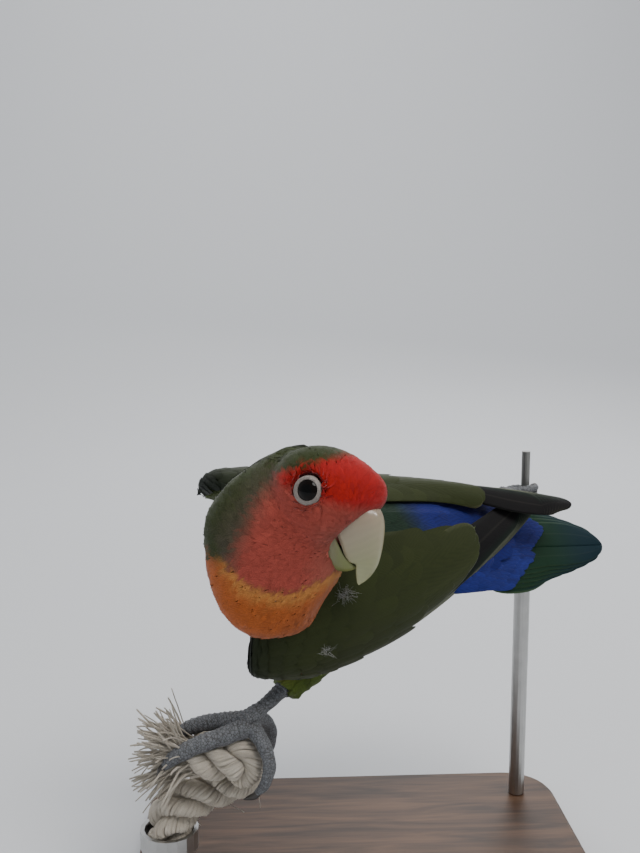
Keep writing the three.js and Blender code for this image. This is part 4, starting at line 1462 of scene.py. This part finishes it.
build_bill("upper", UPPER_BILL, ivory, 0.35)
build_bill("lower", LOWER_BILL, green_horn, 0.25)

# Feet: grey skin in small scales, with a row of broader plates along the top of each toe.
# Two toes point forward and two back; each ends in a curved dark claw.
# Rows of x, y, z and radius: the shank first, then the toes.
LEFT_FOOT = [
    [(-22, -15.5, 58.4, 2.6), (-24.5, -17.4, 56.8, 2.3), (-28.5, -20.6, 54.4, 2), (-33, -23.6, 51.8, 2.8),
     (-35.5, -24.6, 51, 2.2)],
    [(-32.5, -23, 51.2, 2.8), (-38.5, -21.7, 50.5, 2.5), (-44.5, -21.2, 49.9, 2.3), (-49.8, -21.4, 48.6, 2.0),
     (-53.4, -21.8, 46.4, 1.15), (-55, -22.4, 43.0, 0.3)],
    [(-33, -25.4, 50.4, 2.8), (-40, -27.7, 48.8, 2.5), (-47, -29.0, 47.0, 2.35), (-53, -29.6, 44.0, 2.0),
     (-56.6, -30.0, 41, 1.1), (-58, -29.9, 37.8, 0.3)],
    [(-32.4, -25.4, 50.6, 2.5), (-29, -28.4, 46.4, 2), (-27.4, -29.4, 41, 1.8), (-28.6, -29.6, 35.8, 1.5),
     (-31.4, -29, 32, 0.9), (-34.6, -28, 30.4, 0.3)],
    [(-32, -22, 51, 2.5), (-28.4, -16, 47.4, 2), (-26.8, -12.8, 42, 1.7), (-28, -11.2, 36, 1.4),
     (-31, -10.8, 32.2, 0.9), (-34.4, -11, 30.6, 0.3)],
]
WIRE_PLACE = (53.6, 18.5)
WIRE_RADIUS = 1.3
GRIP_HEIGHT = 105.4
SCUTE = 1.5
TOE_SIDE = (0.3, 0.2, 1.0)

foot_skin, tree, shader = new_material("foot_skin")
place = body_place(tree)
cells = {"Vector": place, "Scale": 1250.0}
scales = node(tree, "ShaderNodeTexVoronoi", cells, feature="DISTANCE_TO_EDGE").outputs[0]
gaps = graded(tree, scales, 0.0, 0.14)
tone = blend(tree, noise(tree, place, 350.0, 4.0), (0.095, 0.10, 0.108), (0.19, 0.20, 0.215))
surfaced(shader, blend(tree, gaps, (0.045, 0.042, 0.040), tone), {"Roughness": 0.6}, (gaps, 0.7, 0.00015))

claw_horn, tree, shader = new_material("claw_horn")
tone = blend(tree, noise(tree, body_place(tree), 600.0, 3.0), (0.012, 0.011, 0.010), (0.055, 0.048, 0.042))
surfaced(shader, tone, {"Roughness": 0.35})


def length_gone(points):
    """The way gone along a line at each of its points."""
    return np.concatenate([[0], np.cumsum(np.linalg.norm(np.diff(points, axis=0), axis=1))])


def line_sides(middles, guess):
    """Two steady ways across a line at each of its points, from a first guess."""
    ways = unit(np.gradient(middles, axis=0))
    side = unit(np.cross(ways[0], guess))
    sides = np.zeros_like(middles)
    for r, way in enumerate(ways):
        side = unit(side - (side @ way) * way)
        sides[r] = side
    return sides, np.cross(ways, sides)


def tube(middles, radii, corners, guess, swell=None):
    """A closed round tube along a line: its points and faces."""
    sides, others = line_sides(middles, guess)
    angle = np.linspace(0, 2 * np.pi, corners, endpoint=False)[:, None]
    spokes = np.cos(angle) * sides[:, None] + np.sin(angle) * others[:, None]
    size = radii[:, None] * np.ones(corners)
    if swell:
        size = size * swell(length_gone(middles)[:, None], spokes)
    points = (middles[:, None] + size[..., None] * spokes).reshape(-1, 3)
    return points, ring_faces(len(middles), corners) + end_faces(len(middles), corners)


def smooth_tube(rows, rings, corners, swell=None):
    """A tube through rows of x, y, z and radius."""
    path = smooth_rows(rows, np.linspace(0, 1, rings))
    return tube(path[:, :3], path[:, 3], corners, TOE_SIDE, swell)


def joined_piece(name, parts, material):
    """One piece from the points and faces of several parts."""
    starts = np.cumsum([0] + [len(points) for points, _ in parts]).tolist()
    faces = [tuple(i + start for i in face) for (_, part), start in zip(parts, starts) for face in part]
    made = mesh_piece(name, np.concatenate([points for points, _ in parts]), faces, material)
    one_sided(made)
    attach(made, "root")
    return made


def plated(gone, outward):
    """Plates across the top of a toe, each a little proud at its far edge, over a plain round underside."""
    top = ease(outward[..., 2] * 0.7 - outward[..., 1] * 0.7, -0.1, 0.6)
    pad = 0.05 * np.sin(gone * 1.1)
    return 1 + top * (0.17 * ((gone / SCUTE) % 1.0) ** 1.5 - 0.03) + (1 - top) * pad


def toe_parts(rows):
    """A toe's flesh and its claw."""
    before, end, last = (np.array(row, float) for row in rows[-3:])
    flesh = [*rows[:-2], (*(end[:3] * 0.8 + before[:3] * 0.2), end[3])]
    claw = [
        (*(before * 0.35 + end * 0.65)[:3], 1.0), (*end[:3], 1.0), (*(end * 0.45 + last * 0.55)[:3], 0.66),
        (*last[:3], 0.12),
    ]
    return smooth_tube(flesh, 64, 20, plated), smooth_tube(claw, 20, 14)


def hooked_toe(turned, rise):
    """Rows of a right toe that hooks round the wire."""
    rows = []
    for step in range(7):
        share = step / 6
        angle = math.pi + turned * share
        reach = WIRE_RADIUS + 1.65 + 3.4 * (1 - share) ** 2
        height = GRIP_HEIGHT + rise * math.sin(math.pi * min(0.5, share))
        rows.append((WIRE_PLACE[0] + reach * math.cos(angle), WIRE_PLACE[1] + reach * math.sin(angle),
                     height, 1.5 - 1.1 * share ** 1.5))
    return rows


heel = trunk_axes.out([-36, -18.2, -9.8])
palm = np.array([WIRE_PLACE[0] - 6, WIRE_PLACE[1] + 1, GRIP_HEIGHT])
middle = heel * 0.45 + palm * 0.55
RIGHT_FOOT = [
    [(*heel, 2.4), (*middle, 1.8), (*palm, 2.3)], hooked_toe(3.9, 2.4), hooked_toe(4.1, -0.2),
    hooked_toe(-3.9, -2.6), hooked_toe(-3.7, 0.9),
]
for name, rows in (("left", LEFT_FOOT), ("right", RIGHT_FOOT)):
    toes = [toe_parts(toe) for toe in rows[1:]]
    shank = smooth_tube(rows[0], 60, 22, plated)
    foot = joined_piece(f"foot_skin_{name}", [shank] + [toe[0] for toe in toes], foot_skin)
    claws = joined_piece(f"claws_{name}", [toe[1] for toe in toes], claw_horn)
    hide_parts(f"foot_{name}")

# Rope: a short end of three-strand cotton that rolls over on itself and ends in a frayed tassel.
# Each strand is a bundle of soft yarns, and the tassel is the same yarns, untwisted and spread.
ROPE_PATH = [
    (-56, -19, 14), (-56, -19, 17.5), (-55.4, -19, 21), (-49, -18.5, 27), (-40.5, -18, 30.6),
    (-34, -20.5, 35.5), (-35.5, -24.2, 41), (-42, -24.6, 41.6), (-49, -23.6, 41.6),
]
ROPE_RINGS = 110
ROPE_SIDE = (0.2, 1.0, 0.1)
YARN_SIDE = (0.31, 0.52, 0.8)
STRANDS = 3
YARNS = 15
STRAND_AWAY = 3.4
YARN_AWAY = 2.6
YARN_RADIUS = 0.64
ROPE_TURNS = 2.6
STRAND_TURNS = 7.0
TASSEL_MOUTH = (-49, -24, 41.6)
TASSEL_YARNS = 210
STRAY_FIBRES = 26

cotton, tree, shader = new_material("cotton")
place = node(tree, "ShaderNodeUVMap", uv_map="Yarn").outputs[0]
wave = {"Vector": place, "Scale": 2.2, "Distortion": 3.0, "Detail": 3.0, "Detail Scale": 2.0}
fibres = node(tree, "ShaderNodeTexWave", wave, bands_direction="DIAGONAL").outputs[0]
fresh = blend(tree, noise(tree, body_place(tree), 260.0, 4.0), (0.52, 0.44, 0.335), (0.86, 0.79, 0.67))
surfaced(shader, blend(tree, 0.28, fresh, fibres, "MULTIPLY"), {"Roughness": 0.9, "Sheen Weight": 0.25},
         (fibres, 0.8, 0.00018))


def yarn_piece(name, yarns, material):
    """One piece of thin tubes, each from its middle line, radii and corners, mapped by length and turn."""
    parts = [tube(middles, radii, corners, YARN_SIDE) for middles, radii, corners in yarns]
    made = joined_piece(name, parts, material)
    places = []
    for middles, _, corners in yarns:
        turns = np.arange(corners) / corners * 2.4
        places.append(np.stack(np.meshgrid(length_gone(middles), turns, indexing="ij"), -1).reshape(-1, 2))
    mapped(made, "Yarn", np.concatenate(places))
    return made


def averaged_rows(rows):
    """Rows of numbers, each drawn to the mean of its neighbours."""
    for _ in range(3):
        rows = 0.5 * rows + 0.25 * (np.roll(rows, 1, axis=0) + np.roll(rows, -1, axis=0))
    return rows


def rope_yarns():
    """The yarns of the rope: they wind round each strand, and the strands wind round the rope."""
    path = smooth_rows(ROPE_PATH, np.linspace(0, 1, ROPE_RINGS))
    sides, others = line_sides(path, ROPE_SIDE)
    gone = length_gone(path)
    share = gone / gone[-1]
    yarns = []
    for strand in range(STRANDS):
        turn = 2 * np.pi * (strand / STRANDS + ROPE_TURNS * share)[:, None]
        out = np.cos(turn) * sides + np.sin(turn) * others
        around = -np.sin(turn) * sides + np.cos(turn) * others
        for yarn in range(YARNS):
            spin = 2 * np.pi * (yarn / YARNS - STRAND_TURNS * share[:, None]) + RANDOM.uniform(-0.1, 0.1)
            away = YARN_AWAY * RANDOM.uniform(0.92, 1.08)
            line = path + STRAND_AWAY * out + away * (np.cos(spin) * out + np.sin(spin) * around)
            line = line + averaged_rows(RANDOM.normal(0, 0.06, line.shape))
            yarns.append((line, np.full(ROPE_RINGS, YARN_RADIUS * RANDOM.uniform(0.9, 1.1)), 8))
    return yarns


def tassel_yarns():
    """Loose yarns that leave the rope's end and spread up, out and down."""
    yarns = []
    steps = np.linspace(0, 1, 12)[:, None]
    for _ in range(TASSEL_YARNS):
        swing = math.radians(RANDOM.uniform(-56, 74))
        wide = math.radians(RANDOM.normal(0, 17))
        reach = RANDOM.uniform(11, 17.5) * (1 - 0.18 * abs(swing)) * (1.25 if swing > 0.5 else 1.0)
        way = (-math.cos(swing) * math.cos(wide), math.sin(wide), math.sin(swing) * math.cos(wide))
        start = np.array(TASSEL_MOUTH) + (2.5, RANDOM.uniform(-4.2, 4.2), RANDOM.uniform(-4.2, 4.2))
        bend = np.array([0, RANDOM.normal(0, 2.0), RANDOM.normal(-1.8, 2.6)])
        middles = start + np.array([-3.0, 0, 0]) * np.minimum(steps * 3, 1)
        middles = middles + np.array(way) * reach * steps + bend * steps ** 2
        middles = middles + averaged_rows(RANDOM.normal(0, 0.14, middles.shape)) * steps
        radii = RANDOM.uniform(0.16, 0.34) * np.interp(steps[:, 0], [0, 0.85, 1], [1.2, 1.0, 0.8])
        yarns.append((middles, radii, 6))
    return yarns


def stray_fibres():
    """Fine single fibres that stand off the rope."""
    yarns = []
    steps = np.linspace(0, 1, 10)[:, None]
    for _ in range(STRAY_FIBRES):
        start = smooth_rows(ROPE_PATH, np.array([RANDOM.uniform(0.15, 0.98)]))[0] + RANDOM.normal(0, 2.2, 3)
        way = unit(RANDOM.normal(0, 1, 3) + np.array([-0.4, -0.3, -0.2]))
        curl = unit(RANDOM.normal(0, 1, 3)) * RANDOM.uniform(1.0, 3.0)
        middles = start + way * RANDOM.uniform(6, 9.5) * steps + curl * steps ** 2
        yarns.append((middles, np.full(10, 0.10), 5))
    return yarns


rope = yarn_piece("rope_strands", rope_yarns(), cotton)
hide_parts("perch_rope")
yarn_piece("rope_tassel", tassel_yarns() + stray_fibres(), cotton)

# Down: a few pale loose barbs stand on the left wing where the bird has preened.
# They are curved threads as fine as hair, rooted between the coverts.
# Places in the trunk's axes, with a count, a length and the breadth of the patch.
DOWN_PLACES = [((1.6, 15.9, 18.3), 150, 1.4, 1.0), ((7.8, 27.8, 8.8), 40, 0.9, 0.6)]
DOWN_OUT = (-0.5, 0.75, 0.45)

down_white, tree, shader = new_material("down_white")
tone = blend(tree, noise(tree, body_place(tree), 900.0, 2.0), (0.13, 0.13, 0.12), (0.34, 0.34, 0.32))
surfaced(shader, tone, {"Roughness": 0.9, "Sheen Weight": 0.5})


def down_yarns():
    """The curved barbs of each tuft."""
    threads = []
    out = trunk_axes.turn_out(DOWN_OUT)
    steps = np.linspace(0, 1, 8)[:, None]
    for place, count, reach, patch in DOWN_PLACES:
        for _ in range(count):
            way = unit(out * 0.25 + RANDOM.normal(0, 0.6, 3))
            curl = RANDOM.normal(0, 1.2, 3)
            start = RANDOM.normal(0, 1, 3)
            start = trunk_axes.out(place) + patch * (start - 0.8 * (start @ out) * out) + 0.2 * out
            middles = start + way * reach * RANDOM.uniform(0.6, 1) * steps + curl * steps ** 2
            threads.append((middles, np.linspace(0.04, 0.02, 8), 4))
    return threads


yarn_piece("down_tufts", down_yarns(), down_white)

# Wire and stand: a cut length of dull zinc wire on a turned steel post, a steel cup for the rope's end on
# another, and a small varnished hardwood base with eased edges.
# The CAD solids keep their shapes; each gets its metal or wood here.
WOOD_STOPS = [(0.35, (0.045, 0.022, 0.012)), (0.68, (0.135, 0.070, 0.038))]


def metal(name, colour, roughness, scale, streak):
    """Metal with fine lines along its height, a mottled tone and small pits."""
    made, tree, shader = new_material(name)
    place = body_place(tree)
    stretched = node(tree, "ShaderNodeMapping", {"Vector": place, "Scale": (1, 1, streak)}).outputs[0]
    grain = noise(tree, stretched, scale, 5.0)
    dull = tuple(value * 0.7 for value in colour)
    tone = blend(tree, noise(tree, place, 240.0, 3.0), dull, colour)
    surfaced(shader, tone, {"Metallic": 1.0}, (grain, 0.25, 0.00006))
    rough = graded(tree, grain, 0.0, 1.0, roughness - 0.08, roughness + 0.12)
    tree.links.new(rough, shader.inputs["Roughness"])
    return made


def hardwood():
    """Varnished dark wood with its grain along the base and fine pores."""
    made, tree, shader = new_material("hardwood")
    stretch = {"Vector": body_place(tree), "Scale": (0.10, 1.0, 1.0)}
    stretched = node(tree, "ShaderNodeMapping", stretch).outputs[0]
    pores = noise(tree, stretched, 1500.0, 2.0)
    figure = ramped(tree, noise(tree, stretched, 260.0, 6.0, 0.6), WOOD_STOPS)
    gloss = {"Roughness": 0.48, "Specular IOR Level": 0.3}
    surfaced(shader, blend(tree, 0.35, figure, pores, "MULTIPLY"), gloss, (pores, 0.25, 0.0001))
    return made


zinc = metal("zinc_wire", (0.30, 0.30, 0.285), 0.5, 1400.0, 0.25)
steel = metal("satin_steel", (0.52, 0.52, 0.51), 0.32, 2600.0, 0.04)
wood = hardwood()
for name, material in (
    ("perch_wire", zinc), ("stand_cup", steel), ("stand_post_cup", steel), ("stand_post_wire", steel),
    ("stand_base", wood),
):
    data = bpy.data.objects[name].data
    data.materials.clear()
    data.materials.append(material)
